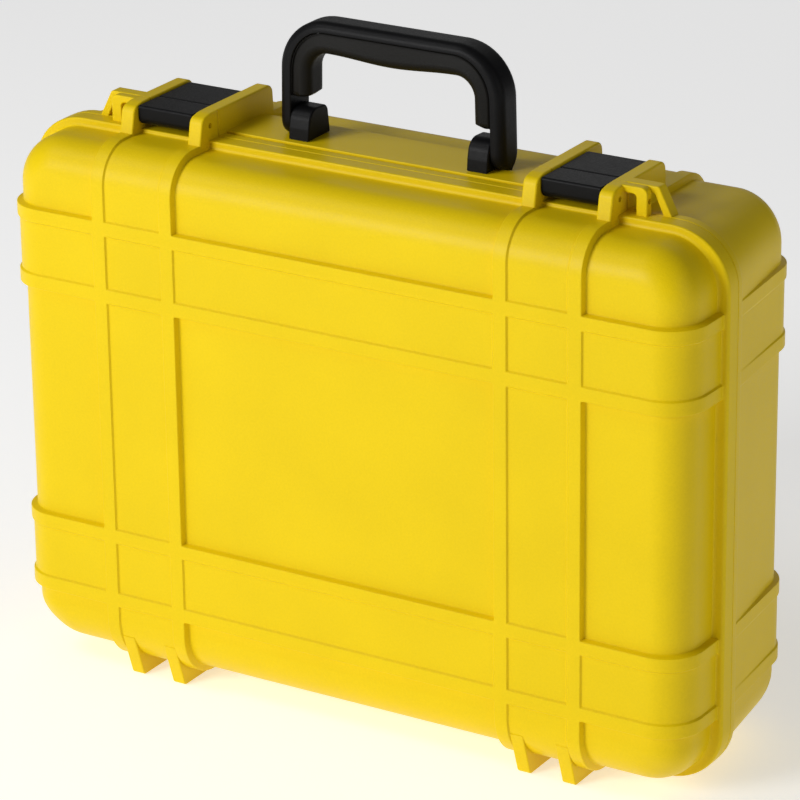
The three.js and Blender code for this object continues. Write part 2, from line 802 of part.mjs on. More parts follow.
// An arch in X-Z about the handle's pivot: two legs with round corners under a bar, each of its
// own thickness. The bar's underside may sag in the middle.
function archOutline(halfWidth, top, foot, corner, leg, bar, sag) {
  const inner = halfWidth - leg;
  const innerTop = top - bar;
  const innerCorner = Math.max(corner - (leg + bar) / 2, archLeastCorner);
  const shape = new THREE.Shape();
  shape.moveTo(-halfWidth, foot);
  shape.lineTo(-inner, foot);
  shape.lineTo(-inner, innerTop - innerCorner);
  shape.absarc(-inner + innerCorner, innerTop - innerCorner, innerCorner, Math.PI, Math.PI / 2, true);
  shape.quadraticCurveTo(0, innerTop - 2 * sag, inner - innerCorner, innerTop);
  shape.absarc(inner - innerCorner, innerTop - innerCorner, innerCorner, Math.PI / 2, 0, true);
  shape.lineTo(inner, foot);
  shape.lineTo(halfWidth, foot);
  shape.lineTo(halfWidth, top - corner);
  shape.absarc(halfWidth - corner, top - corner, corner, 0, Math.PI / 2, false);
  shape.lineTo(-halfWidth + corner, top);
  shape.absarc(-halfWidth + corner, top - corner, corner, Math.PI / 2, Math.PI, false);
  return shape;
}

function handleFrame() {
  const y0 = handlePivotY - handleSection / 2;
  const outline = archOutline(
    handleWidth / 2, handleRise, -handleFootDrop, handleCorner,
    frameLegThickness, frameBarThickness, 0,
  );
  const arch = alongY(outline, y0, y0 + handleSection, handlePivotZ);
  const front = handlePivotY - handleSection / 2;
  const rear = handlePivotY + handleSection / 2;
  const round = handleFootRound;
  const foot = handlePivotZ - handleFootDrop;
  const top = handlePivotZ + handleRise + overshoot;
  const section = new THREE.Shape();
  section.absarc(rear - round, foot + round, round, -Math.PI / 2, 0, false);
  section.lineTo(rear, top);
  section.lineTo(front, top);
  section.absarc(front + round, foot + round, round, Math.PI, Math.PI * 1.5, false);
  const sockets = sides.map(([, side]) => {
    const start = handleWidth / 2 - frameLegThickness - sunkIn;
    const ends = [side * start, side * (handleWidth / 2 - handleSocketFloor)];
    ends.sort((a, b) => a - b);
    return rodX(ends[0], ends[1], handlePivotY, handlePivotZ, handlePinRadius + moving);
  });
  return cut(arch.intersect(alongX(section, -handleWidth, handleWidth)), sockets);
}

function handleGrip() {
  const y0 = handlePivotY - handleSection / 2;
  const corner = handleCorner - (frameLegThickness + frameBarThickness) / 2 - touching;
  const outline = archOutline(
    handleWidth / 2 - frameLegThickness - touching, handleRise - frameBarThickness - touching,
    gripEndAbovePivot, corner, gripLegThickness, gripBarThickness, gripBulge,
  );
  return alongY(outline, y0, y0 + handleSection, handlePivotZ);
}

// A domed block beside the handle's foot, screwed to the platform.
function handleBracket(side) {
  const outer = side * bracketOuterX;
  const ends = [outer, outer - side * bracketWidth].sort((a, b) => a - b);
  const floorZ = platformTopZ + touching;
  const front = handlePivotY - bracketFront;
  const rear = handlePivotY + bracketRear;
  const domeZ = handlePivotZ + bracketDome;
  const shape = new THREE.Shape();
  shape.moveTo(front, floorZ);
  shape.lineTo(rear, floorZ);
  shape.quadraticCurveTo(rear - bracketLean, domeZ - 1, handlePivotY + 1, domeZ);
  shape.quadraticCurveTo(
    front + bracketNose, domeZ - bracketLean, front + bracketLean, (floorZ + handlePivotZ) / 2,
  );
  const boreEnds = [outer + side * sunkIn, handlePinStart(side) - side * touching];
  boreEnds.sort((a, b) => a - b);
  const bores = [
    rodX(boreEnds[0], boreEnds[1], handlePivotY, handlePivotZ, handlePinRadius + moving),
    ...screwPositions(side).map(({ x, y }) => rodZ(
      x, y, floorZ - 1, floorZ + screwGrip + touching, screwRadius + moving,
    )),
  ];
  return cut(alongX(shape, ends[0], ends[1]), bores);
}

// Where a handle pin starts, inside its bracket.
function handlePinStart(side) {
  return side * (bracketOuterX - bracketWidth + handlePinInset);
}

function handlePin(side) {
  const ends = [
    handlePinStart(side),
    side * (handleWidth / 2 - handleSocketFloor - touching),
  ].sort((a, b) => a - b);
  return rodX(ends[0], ends[1], handlePivotY, handlePivotZ, handlePinRadius);
}

// A pan-head screw driven up through the base's top wall into the bracket.
function bracketScrew({ x, y }) {
  const ceiling = midZ + cavityHeight / 2 - touching;
  return join([
    rodZ(x, y, ceiling - screwHeadHeight, ceiling, screwHeadRadius),
    rodZ(x, y, ceiling - sunkIn, platformTopZ + screwGrip, screwRadius),
  ]);
}

// ---- tray -----------------------------------------------------------------------------------------

function dividerX(side) {
  return side * trayWidth / 6;
}

// An open tray: one long pocket above, and a lower row with guides for two dividers.
function toolTray() {
  const y1 = trayFrontY + trayDepth;
  const outer = alongY(roundedRectangle(trayWidth, trayHeight, trayCorner), trayFrontY, y1, midZ);
  const pocketHeight = (trayHeight - 3 * trayWall) / 2;
  const pocketShape = roundedRectangle(
    trayWidth - 2 * trayWall, pocketHeight, trayCorner - trayWall,
  );
  const pockets = [-1, 1].map((side) => alongY(
    pocketShape, trayFrontY - overshoot, y1 - trayWall,
    midZ + side * (pocketHeight + trayWall) / 2,
  ));
  const guides = sides.flatMap(([, side]) => [-1, 1].flatMap((flank) => {
    const x = dividerX(side) + flank * (dividerThickness / 2 + touching + dividerGuide / 2);
    const low = midZ - trayHeight / 2 + trayWall / 2;
    const span = [
      x - dividerGuide / 2, x + dividerGuide / 2, trayFrontY + dividerDrop, y1 - trayWall / 2,
    ];
    return [box(...span, low, low + guideReach), box(...span, midZ - guideReach, midZ)];
  }));
  return join([cut(outer, pockets), ...guides]);
}

function trayDivider(side) {
  const x = dividerX(side);
  const half = dividerThickness / 2;
  const low = midZ - trayHeight / 2 + trayWall + touching;
  return box(
    x - half, x + half, trayFrontY + dividerDrop, trayFrontY + trayDepth - trayWall - touching,
    low, midZ - trayWall / 2 - touching,
  );
}

// ---- the assembly ---------------------------------------------------------------------------------

part('base_shell', baseShell(), yellowShell);
part('lid_shell', lidShell(), yellowShell);
part('lid_seal', lidSeal(), sealRubber);
part('handle_frame', handleFrame(), blackPlastic);
part('handle_grip', handleGrip(), gripRubber);
part('tool_tray', toolTray(), trayPlastic);
for (const [name, side] of sides) {
  part(`hinge_pin_${name}`, hingePin(side), steel);
  part(`latch_link_${name}`, latchLink(side), blackPlastic);
  part(`latch_lever_${name}`, latchLever(side), blackPlastic);
  part(`latch_pin_${name}`, latchPin(side), steel);
  part(`lever_pin_${name}`, leverPin(side), steel);
  part(`handle_bracket_${name}`, handleBracket(side), blackPlastic);
  part(`handle_pin_${name}`, handlePin(side), steel);
  part(`tray_divider_${name}`, trayDivider(side), trayPlastic);
  for (const place of screwPositions(side)) {
    part(`bracket_screw_${name}_${place.name}`, bracketScrew(place), steel);
  }
}

export default object;
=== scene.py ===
import json
import math
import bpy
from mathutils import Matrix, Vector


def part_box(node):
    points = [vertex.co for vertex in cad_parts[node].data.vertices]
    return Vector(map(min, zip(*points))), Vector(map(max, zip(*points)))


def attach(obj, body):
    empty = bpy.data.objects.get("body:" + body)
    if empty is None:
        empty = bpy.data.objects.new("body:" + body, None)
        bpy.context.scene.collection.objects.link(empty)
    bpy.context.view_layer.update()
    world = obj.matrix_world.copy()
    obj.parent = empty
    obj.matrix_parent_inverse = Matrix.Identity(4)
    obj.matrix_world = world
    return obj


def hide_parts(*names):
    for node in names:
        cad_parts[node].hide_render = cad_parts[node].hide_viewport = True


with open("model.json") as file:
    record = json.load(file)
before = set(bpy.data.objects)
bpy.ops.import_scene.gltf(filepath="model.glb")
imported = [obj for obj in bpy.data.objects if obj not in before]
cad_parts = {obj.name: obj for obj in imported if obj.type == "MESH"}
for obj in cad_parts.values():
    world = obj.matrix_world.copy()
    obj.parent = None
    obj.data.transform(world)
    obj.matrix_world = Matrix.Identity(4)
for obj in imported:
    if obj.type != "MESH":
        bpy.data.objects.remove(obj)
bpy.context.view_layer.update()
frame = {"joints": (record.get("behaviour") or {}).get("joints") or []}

from types import SimpleNamespace

import bmesh
import bpy
import numpy as np
from bpy.props import FloatProperty, FloatVectorProperty, PointerProperty
from mathutils import Matrix

bl_info = {
    "name": "Hard tool case with tray",
    "version": (1, 0, 0),
    "blender": (4, 5, 0),
    "location": "3D View > Sidebar > Tool case",
    "description": "Builds a ribbed plastic tool case, its latches, handle and tray round a fixed frame",
    "category": "Add Mesh",
}

MM = 0.001
SIDES = (("left", -1), ("right", 1))
ARC_STEPS = 12
EDGE_STEPS = 4
ROUND_STEPS = 10
PIN_ROOM = 0.3 * MM
EAR_EDGE = 1.3 * MM
FIN_EDGE = 0.9 * MM
PIECE_EDGE = 0.7 * MM
POST_INSET = 20 * MM
TRAY_WALL = 2.5 * MM
TRAY_CORNER = 27 * MM
TRAY_EDGE = 1.2 * MM
LATCH_BORE_REACH = 4.5 * MM
LATCH_BORE = 1.8 * MM
LEVER_ROOM = 3.95 * MM
HANDLE_CORNER = 33 * MM
HANDLE_LEAN = 1.6 * MM
HANDLE_FOOT_ROUND = 10.6 * MM
HANDLE_CROWN = 5.6 * MM
GRIP_CROWN = 6.5 * MM
FLOOR_HALF = 6.0
JOINT = {joint["name"]: joint for joint in frame["joints"]}


def node_box(name):
    """A CAD node's lowest and highest corner as numpy arrays, in metres."""
    return tuple(np.array(corner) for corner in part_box(name))


LID_LOW, LID_HIGH = node_box("lid_shell")
BASE_LOW, BASE_HIGH = node_box("base_shell")
PARTING_Y, HINGE_Z = JOINT["lid_hinge"]["pos_m"][1:]


# ---- sizes and colours a user may change ----------------------------------------------------


def length(name, description, millimetres):
    """A length property with its default in millimetres."""
    return FloatProperty(
        name=name, description=description, default=millimetres * MM, unit="LENGTH", precision=5,
    )


def colour(name, description, value):
    """A colour property."""
    return FloatVectorProperty(
        name=name, description=description, default=value, subtype="COLOR", min=0.0, max=1.0,
    )


class CaseShape(bpy.types.PropertyGroup):
    """Sizes of the two shells."""

    side_reach: length("Side reach", "How far the flange stands out of the sides", 3.4)
    top_reach: length("Top reach", "How far the flange stands out above and below", 1.1)
    ear_height: length("Ear height", "Height of the latch ears above the flange", 17.4)
    hinge_drop: length("Hinge drop", "Distance from the hinge axis up to the flange", 0.4)
    gap: length("Parting gap", "Gap between the two flanges", 0.4)
    corner: length("Corner radius", "Rounding of the four upright corners of the outline", 36)
    shoulder: length("Shoulder radius", "Rounding from the sides into the front and back", 26)
    heel: length("Heel radius", "Rounding from the underside into the front and back", 35)
    panel: length("Panel recess", "How far the panels lie below the ribs", 4.3)
    strip: length("Strip recess", "How far the strips between paired ribs lie below them", 1.4)
    wall: length("Wall", "Thickness of the shells behind the panels", 4)
    rib_width: length("Rib width", "Width of each rib", 9.8)
    rib_x: length("Rib X", "Distance of the inner upright ribs from the middle", 114.8)
    rib_z: length("Rib Z", "Distance of the inner level ribs from the middle", 77.6)
    strip_x: length("Strip X", "Space between paired upright ribs", 41.5)
    strip_z: length("Strip Z", "Space between paired level ribs", 35)
    rib_drop: length("Rib drop", "How far the rib pattern's middle lies below the body's", 1.6)
    rib_edge: length("Rib edge", "Width over which a rib's flank rises", 1.4)
    lid_flange: length("Lid flange", "Depth of the lid's flange", 11.5)
    base_flange: length("Base flange", "Depth of the base's flange", 7.5)
    lid_draft: FloatProperty(name="Lid draft", description="Lean of the lid's sides", default=0.02)
    base_draft: FloatProperty(name="Base draft", description="Lean of the base's sides", default=0.08)


class CaseFinish(bpy.types.PropertyGroup):
    """Colours and grain of the case's materials."""

    shell: colour("Shell", "Colour of the two shells", (0.80, 0.575, 0.003))
    black: colour("Black plastic", "Colour of latches, handle frame and brackets", (0.005, 0.005, 0.0054))
    grip: colour("Grip", "Colour of the handle's soft grip", (0.007, 0.0065, 0.0055))
    tray: colour("Tray", "Colour of the tray and its dividers", (0.030, 0.032, 0.035))
    seal: colour("Seal", "Colour of the rim seal", (0.022, 0.022, 0.023))
    grain: length("Grain", "Size of the moulded grain on the shells", 0.9)


def levels():
    """The shells' levels, worked out from the frame and the scene's sizes."""
    shape = bpy.context.scene.case_shape
    names = [key for key in shape.bl_rna.properties.keys() if key not in ("rna_type", "name")]
    level = SimpleNamespace(**{key: getattr(shape, key) for key in names})
    level.front_y = LID_LOW[1]
    level.back_y = BASE_HIGH[1]
    level.half_x = BASE_HIGH[0] - level.side_reach
    level.ear_z = BASE_HIGH[2]
    level.flange_z = level.ear_z - level.ear_height
    level.flange_low_z = HINGE_Z + level.hinge_drop
    level.mid_z = (level.flange_z + level.flange_low_z) / 2
    level.half_z = (level.flange_z - level.flange_low_z) / 2 - level.top_reach
    level.rib_x2 = level.rib_x + level.rib_width + level.strip_x
    level.rib_z2 = level.rib_z + level.rib_width + level.strip_z
    level.ear_x = level.rib_x + level.rib_width
    level.inset = level.panel + level.wall
    return level


# ---- mesh helpers ---------------------------------------------------------------------------


def smooth(t):
    """A step from 0 to 1 that is level at both ends: 3 t squared less 2 t cubed."""
    t = np.clip(t, 0.0, 1.0)
    return t * t * (3.0 - 2.0 * t)


def grid_faces(rows, columns, closed=False):
    """Quads between neighbouring rows of a grid of rows x columns points, in row order."""
    row = np.arange(rows - 1)[:, None]
    column = np.arange(columns if closed else columns - 1)[None, :]
    after = (column + 1) % columns
    quads = np.stack([
        row * columns + column, row * columns + after,
        (row + 1) * columns + after, (row + 1) * columns + column,
    ], axis=-1)
    return quads.reshape(-1, 4)


def mesh_of(name, parts, weld=1e-6):
    """A mesh from (points, faces) parts, with doubles merged and faces turned outwards."""
    mesh = bpy.data.meshes.new(name)
    start = 0
    points, faces = [], []
    for part_points, part_faces in parts:
        points.append(np.asarray(part_points, float).reshape(-1, 3))
        faces += [[start + int(i) for i in face] for face in part_faces]
        start += len(points[-1])
    mesh.from_pydata(np.concatenate(points).tolist(), [], faces)
    work = bmesh.new()
    work.from_mesh(mesh)
    bmesh.ops.remove_doubles(work, verts=work.verts, dist=weld)
    bmesh.ops.dissolve_degenerate(work, edges=work.edges, dist=weld / 2)
    bmesh.ops.recalc_face_normals(work, faces=work.faces)
    work.to_mesh(mesh)
    work.free()
    return mesh


def new_object(name, mesh):
    """A mesh as an object at the origin, unturned and unscaled."""
    piece = bpy.data.objects.new(name, mesh)
    bpy.context.scene.collection.objects.link(piece)
    return piece


def combine(target, tools, operation):
    """Joins tool meshes to a mesh, or cuts them out of it, and returns the new mesh."""
    piece = new_object("work", target)
    helpers = []
    for tool in tools:
        helper = new_object("tool", tool)
        step = piece.modifiers.new("combine", "BOOLEAN")
        step.operation = operation
        step.solver = "MANIFOLD"
        step.object = helper
        helpers.append(helper)
    bpy.context.view_layer.update()
    result = bpy.data.meshes.new_from_object(
        piece.evaluated_get(bpy.context.evaluated_depsgraph_get()),
    )
    for unused in helpers + [piece]:
        bpy.data.objects.remove(unused)
    return result


def finish(name, mesh, material, body, nodes, sharp=33.0):
    """Puts a finished mesh in the scene: shaded, painted, riding on a body, for its CAD nodes."""
    mesh.name = name
    mesh.materials.clear()
    mesh.materials.append(material)
    mesh.shade_smooth()
    mesh.set_sharp_from_angle(angle=math.radians(sharp))
    piece = new_object(name, mesh)
    weigh = piece.modifiers.new("even_shading", "WEIGHTED_NORMAL")
    weigh.keep_sharp = True
    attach(piece, body)
    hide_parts(*nodes)
    return piece


def outline(corners, steps=6):
    """A closed outline through (a, b, radius) corners, each rounded by an arc of its radius."""
    count = len(corners)
    points = []
    for i, (a, b, radius) in enumerate(corners):
        here = np.array([a, b])
        before = np.array(corners[i - 1][:2]) - here
        after = np.array(corners[(i + 1) % count][:2]) - here
        before /= np.linalg.norm(before)
        after /= np.linalg.norm(after)
        half = math.acos(np.clip(before @ after, -1, 1)) / 2
        if radius <= 0 or abs(math.cos(half)) < 1e-6:
            points.append(here[None, :])
            continue
        middle = (before + after) / np.linalg.norm(before + after)
        centre = here + middle * radius / math.sin(half)
        first = here + before * radius / math.tan(half) - centre
        last = here + after * radius / math.tan(half) - centre
        turn = math.atan2(first[0] * last[1] - first[1] * last[0], first @ last)
        angle = math.atan2(first[1], first[0]) + turn * np.linspace(0, 1, steps + 1)
        points.append(centre + radius * np.stack([np.cos(angle), np.sin(angle)], axis=-1))
    return np.concatenate(points)


def inset_outline(points, distance):
    """An outline moved inwards everywhere by a distance, along the mean of its edge normals."""
    edge = np.roll(points, -1, axis=0) - points
    edge /= np.maximum(np.linalg.norm(edge, axis=1, keepdims=True), 1e-12)
    area = np.sum(points[:, 0] * np.roll(points[:, 1], -1) - np.roll(points[:, 0], -1) * points[:, 1])
    normal = np.stack([-edge[:, 1], edge[:, 0]], axis=-1) * np.sign(area)
    both = normal + np.roll(normal, 1, axis=0)
    both /= np.maximum(np.sum(both * both, axis=1, keepdims=True) / 2, 0.3)
    return points + both * distance


def slab(points, low, high, edge, axis="X"):
    """An outline carried straight along an axis, with its two rims rounded by quarter circles.

    Along the first rim the outline is inset by edge (1 - sin t) at a height of edge (1 - cos t).
    """
    low, high = min(low, high), max(low, high)
    t = np.linspace(0, math.pi / 2, EDGE_STEPS + 1)
    inset = np.concatenate([edge * (1 - np.sin(t)), edge * (1 - np.sin(t[::-1]))])
    height = np.concatenate([low + edge * (1 - np.cos(t)), high - edge * (1 - np.cos(t[::-1]))])
    rings = np.stack([inset_outline(points, distance) for distance in inset])
    along = np.broadcast_to(height[:, None], rings.shape[:2])
    a, b = rings[..., 0], rings[..., 1]
    order = {"X": (along, a, b), "Y": (a, along, b), "Z": (a, b, along)}[axis]
    count = len(points)
    caps = [list(range(count)), list(range(count * (len(inset) - 1), count * len(inset)))]
    return mesh_of("slab", [(
        np.stack(order, axis=-1), grid_faces(len(inset), count, closed=True).tolist() + caps,
    )])


def turned(profile, low, high, centre, axis="X", sides=48):
    """A body of revolution: (share, offset, radius) rows along an axis, turned about a centre.

    A row lies at low + share (high - low) + offset; the first and last radius are closed by caps.
    """
    share, offset, radius = np.array(profile).T
    along = low + share * (high - low) + offset
    angle = np.linspace(0, 2 * math.pi, sides, endpoint=False)
    a = centre[0] + radius[:, None] * np.cos(angle)
    b = centre[1] + radius[:, None] * np.sin(angle)
    along = np.broadcast_to(along[:, None], a.shape)
    order = {"X": (along, a, b), "Y": (a, along, b), "Z": (a, b, along)}[axis]
    rows = len(profile)
    caps = [list(range(sides)), list(range(sides * (rows - 1), sides * rows))]
    return mesh_of("turned", [(
        np.stack(order, axis=-1), grid_faces(rows, sides, closed=True).tolist() + caps,
    )])


def rod(low, high, centre, radius, axis="X"):
    """A plain round bar, used to cut bores."""
    return turned([(0, 0, radius), (1, 0, radius)], min(low, high), max(low, high), centre, axis)


# ---- materials ------------------------------------------------------------------------------


def node_material(name):
    """A new node material with its shader, and the sockets that a finish needs."""
    material = bpy.data.materials.new(name)
    material.use_nodes = True
    nodes, links = material.node_tree.nodes, material.node_tree.links
    place = nodes.new("ShaderNodeTexCoord").outputs["Object"]
    return material, nodes, links, nodes["Principled BSDF"], place


def noise(nodes, links, place, size, detail=2.0, kind="ShaderNodeTexNoise"):
    """Noise on object coordinates with features of about one size, in metres."""
    texture = nodes.new(kind)
    texture.inputs["Scale"].default_value = 1.0 / size
    if "Detail" in texture.inputs:
        texture.inputs["Detail"].default_value = detail
    links.new(place, texture.inputs["Vector"])
    return texture


def spread(nodes, links, value, low, high, from_low=0.3, from_high=0.7):
    """Maps a noise value to a range."""
    ranged = nodes.new("ShaderNodeMapRange")
    ranged.inputs["From Min"].default_value = from_low
    ranged.inputs["From Max"].default_value = from_high
    ranged.inputs["To Min"].default_value = low
    ranged.inputs["To Max"].default_value = high
    links.new(value, ranged.inputs["Value"])
    return ranged.outputs["Result"]


def tinted(nodes, links, factor, base, low, high):
    """A colour made darker or lighter by a factor between two strengths."""
    mix = nodes.new("ShaderNodeMix")
    mix.data_type = "RGBA"
    mix.inputs["A"].default_value = (*[min(1.0, c * low) for c in base], 1)
    mix.inputs["B"].default_value = (*[min(1.0, c * high) for c in base], 1)
    links.new(factor, mix.inputs["Factor"])
    return mix.outputs["Result"]


def moulded_plastic(name, base, roughness, grain, depth, mottle=0.06, sheen_level=0.5):
    """Moulded plastic: pebbled grain as bump, slow mottling of colour, and uneven gloss."""
    material, nodes, links, shader, place = node_material(name)
    pebbles = noise(nodes, links, place, grain, 3.0)
    fine = noise(nodes, links, place, grain * 0.35, 2.0)
    clouds = noise(nodes, links, place, grain * 70, 4.0)
    specks = noise(nodes, links, place, grain * 1.6, 2.0)
    both = nodes.new("ShaderNodeMath")
    both.operation = "ADD"
    links.new(clouds.outputs["Fac"], both.inputs[0])
    links.new(specks.outputs["Fac"], both.inputs[1])
    factor = spread(nodes, links, both.outputs["Value"], 0.0, 1.0, 0.7, 1.3)
    links.new(tinted(nodes, links, factor, base, 1 - mottle, 1 + mottle), shader.inputs["Base Color"])
    gloss = spread(nodes, links, specks.outputs["Fac"], roughness - 0.05, roughness + 0.06)
    links.new(gloss, shader.inputs["Roughness"])
    shader.inputs["Specular IOR Level"].default_value = sheen_level
    heights = nodes.new("ShaderNodeMath")
    heights.operation = "MULTIPLY_ADD"
    heights.inputs[1].default_value = 0.4
    links.new(fine.outputs["Fac"], heights.inputs[0])
    links.new(pebbles.outputs["Fac"], heights.inputs[2])
    bump = nodes.new("ShaderNodeBump")
    bump.inputs["Strength"].default_value = 1.0
    bump.inputs["Distance"].default_value = depth
    links.new(heights.outputs["Value"], bump.inputs["Height"])
    links.new(bump.outputs["Normal"], shader.inputs["Normal"])
    return material


def plated_steel(name):
    """Zinc-plated steel: fine turning marks round the bar and a slightly cloudy plating."""
    material, nodes, links, shader, place = node_material(name)
    shader.inputs["Metallic"].default_value = 1.0
    marks = noise(nodes, links, place, 0.4 * MM, 2.0)
    clouds = noise(nodes, links, place, 9 * MM, 3.0)
    factor = spread(nodes, links, clouds.outputs["Fac"], 0.0, 1.0)
    links.new(tinted(nodes, links, factor, (0.50, 0.51, 0.52), 0.85, 1.1), shader.inputs["Base Color"])
    links.new(spread(nodes, links, marks.outputs["Fac"], 0.28, 0.44), shader.inputs["Roughness"])
    bump = nodes.new("ShaderNodeBump")
    bump.inputs["Distance"].default_value = 0.02 * MM
    links.new(marks.outputs["Fac"], bump.inputs["Height"])
    links.new(bump.outputs["Normal"], shader.inputs["Normal"])
    return material


def material_for(slot):
    """The finish of one of the record's slots, made once."""
    name = f"{slot}_finish"
    found = bpy.data.materials.get(name)
    if found:
        return found
    tone = bpy.context.scene.case_finish
    if slot == "yellow_shell":
        return moulded_plastic(name, tuple(tone.shell), 0.38, tone.grain, 0.08 * MM, 0.035, 0.14)
    if slot == "black_plastic":
        return moulded_plastic(name, tuple(tone.black), 0.40, 0.7 * MM, 0.07 * MM, 0.15, 0.1)
    if slot == "handle_grip":
        return moulded_plastic(name, tuple(tone.grip), 0.46, 0.8 * MM, 0.1 * MM, 0.2, 0.12)
    if slot == "seal_rubber":
        return moulded_plastic(name, tuple(tone.seal), 0.75, 0.6 * MM, 0.12 * MM, 0.2, 0.3)
    if slot == "tray_plastic":
        return moulded_plastic(name, tuple(tone.tray), 0.55, 0.8 * MM, 0.05 * MM, 0.12)
    return plated_steel(name)


# ---- shells ---------------------------------------------------------------------------------


def band(q, inner, outer, soft):
    """1 where a distance from the middle lies between inner and outer, with soft edges."""
    q = np.abs(q)
    rise = smooth((q - inner) / soft + 0.5)
    fall = smooth((q - outer) / soft + 0.5)
    return rise * (1 - fall)


def recess(x, z, level):
    """How far the skin lies below the rib level: ribs 0, strips and panels by their recess.

    A point is on a rib when it lies in any upright or level rib's band, and on a strip when it
    lies between a pair of ribs; every band has soft edges, so flanks and feet come out rounded.
    """
    z = z - (level.mid_z - level.rib_drop)
    soft, width = level.rib_edge, level.rib_width
    rib_x = band(x, level.rib_x, level.ear_x, soft) + band(x, level.rib_x2, level.rib_x2 + width, soft)
    rib_z = (
        band(z, level.rib_z, level.rib_z + width, soft)
        + band(z, level.rib_z2, level.rib_z2 + width, soft)
    )
    pair_x = band(x, level.rib_x, level.rib_x2 + width, soft)
    pair_z = band(z, level.rib_z, level.rib_z2 + width, soft)
    rib = 1 - (1 - rib_x) * (1 - rib_z)
    pair = 1 - (1 - pair_x) * (1 - pair_z)
    return level.panel * (1 - pair) + level.strip * pair * (1 - rib)


def lines(half, edges, soft, step=11 * MM):
    """Grid lines from -half to half: seven across each rib flank, and no gap wider than step."""
    near = np.array([-0.62, -0.36, -0.17, 0.0, 0.17, 0.36, 0.62]) * soft
    places = np.concatenate([[-half, half]] + [edge + near for edge in edges])
    places = np.unique(np.round(places, 7))
    filled = [
        np.linspace(a, b, 1 + max(1, math.ceil((b - a) / step)))[:-1]
        for a, b in zip(places[:-1], places[1:])
    ]
    return np.append(np.concatenate(filled), half)


def flanks(inner, outer, width, offset=0.0):
    """The positions of all rib flanks in one direction."""
    plus = np.array([inner, inner + width, outer, outer + width])
    return np.concatenate([plus, -plus]) + offset


def rim_outline(level):
    """The body's outline as points of the sharp inner rectangle and outward normals in X-Z.

    The outline at an inset w is the point plus (corner - w) times the normal, so every inset
    outline is an exact parallel curve, and at w = corner it meets the flat grid of the face.
    """
    flat_x = level.half_x - level.corner
    flat_z = level.half_z - level.corner
    xs = lines(flat_x, flanks(level.rib_x, level.rib_x2, level.rib_width), level.rib_edge)
    rib_z = flanks(level.rib_z, level.rib_z2, level.rib_width, -level.rib_drop)
    zs = lines(flat_z, rib_z, level.rib_edge)
    turn = np.linspace(0, math.pi / 2, ARC_STEPS + 2)[1:-1]
    stretches = []

    def straight(points, normal):
        stretches.append((points, np.broadcast_to(normal, points.shape)))

    def bend(x, z, start):
        normal = np.stack([np.cos(start + turn), np.sin(start + turn)], axis=-1)
        stretches.append((np.broadcast_to([x, z], normal.shape), normal))

    straight(np.stack([xs, np.full_like(xs, -flat_z)], axis=-1), (0.0, -1.0))
    bend(flat_x, -flat_z, -math.pi / 2)
    straight(np.stack([np.full_like(zs, flat_x), zs], axis=-1), (1.0, 0.0))
    bend(flat_x, flat_z, 0.0)
    straight(np.stack([xs[::-1], np.full_like(xs, flat_z)], axis=-1), (0.0, 1.0))
    bend(-flat_x, flat_z, math.pi / 2)
    straight(np.stack([np.full_like(zs, -flat_x), zs[::-1]], axis=-1), (-1.0, 0.0))
    bend(-flat_x, -flat_z, math.pi)
    points = np.concatenate([stretch[0] for stretch in stretches])
    normals = np.concatenate([stretch[1] for stretch in stretches])
    return xs, zs, points, normals


def leaned(x, y, draft, level):
    """X moved inwards by the draft times the distance from the parting plane.

    The lean is taken up between the outer rib and the corner, so the upright ribs stay upright.
    """
    start = level.rib_x2 + level.rib_width
    share = np.clip((np.abs(x) - start) / (level.half_x - level.corner - start), 0, 1)
    return x - np.sign(x) * share * draft * np.abs(y - PARTING_Y)


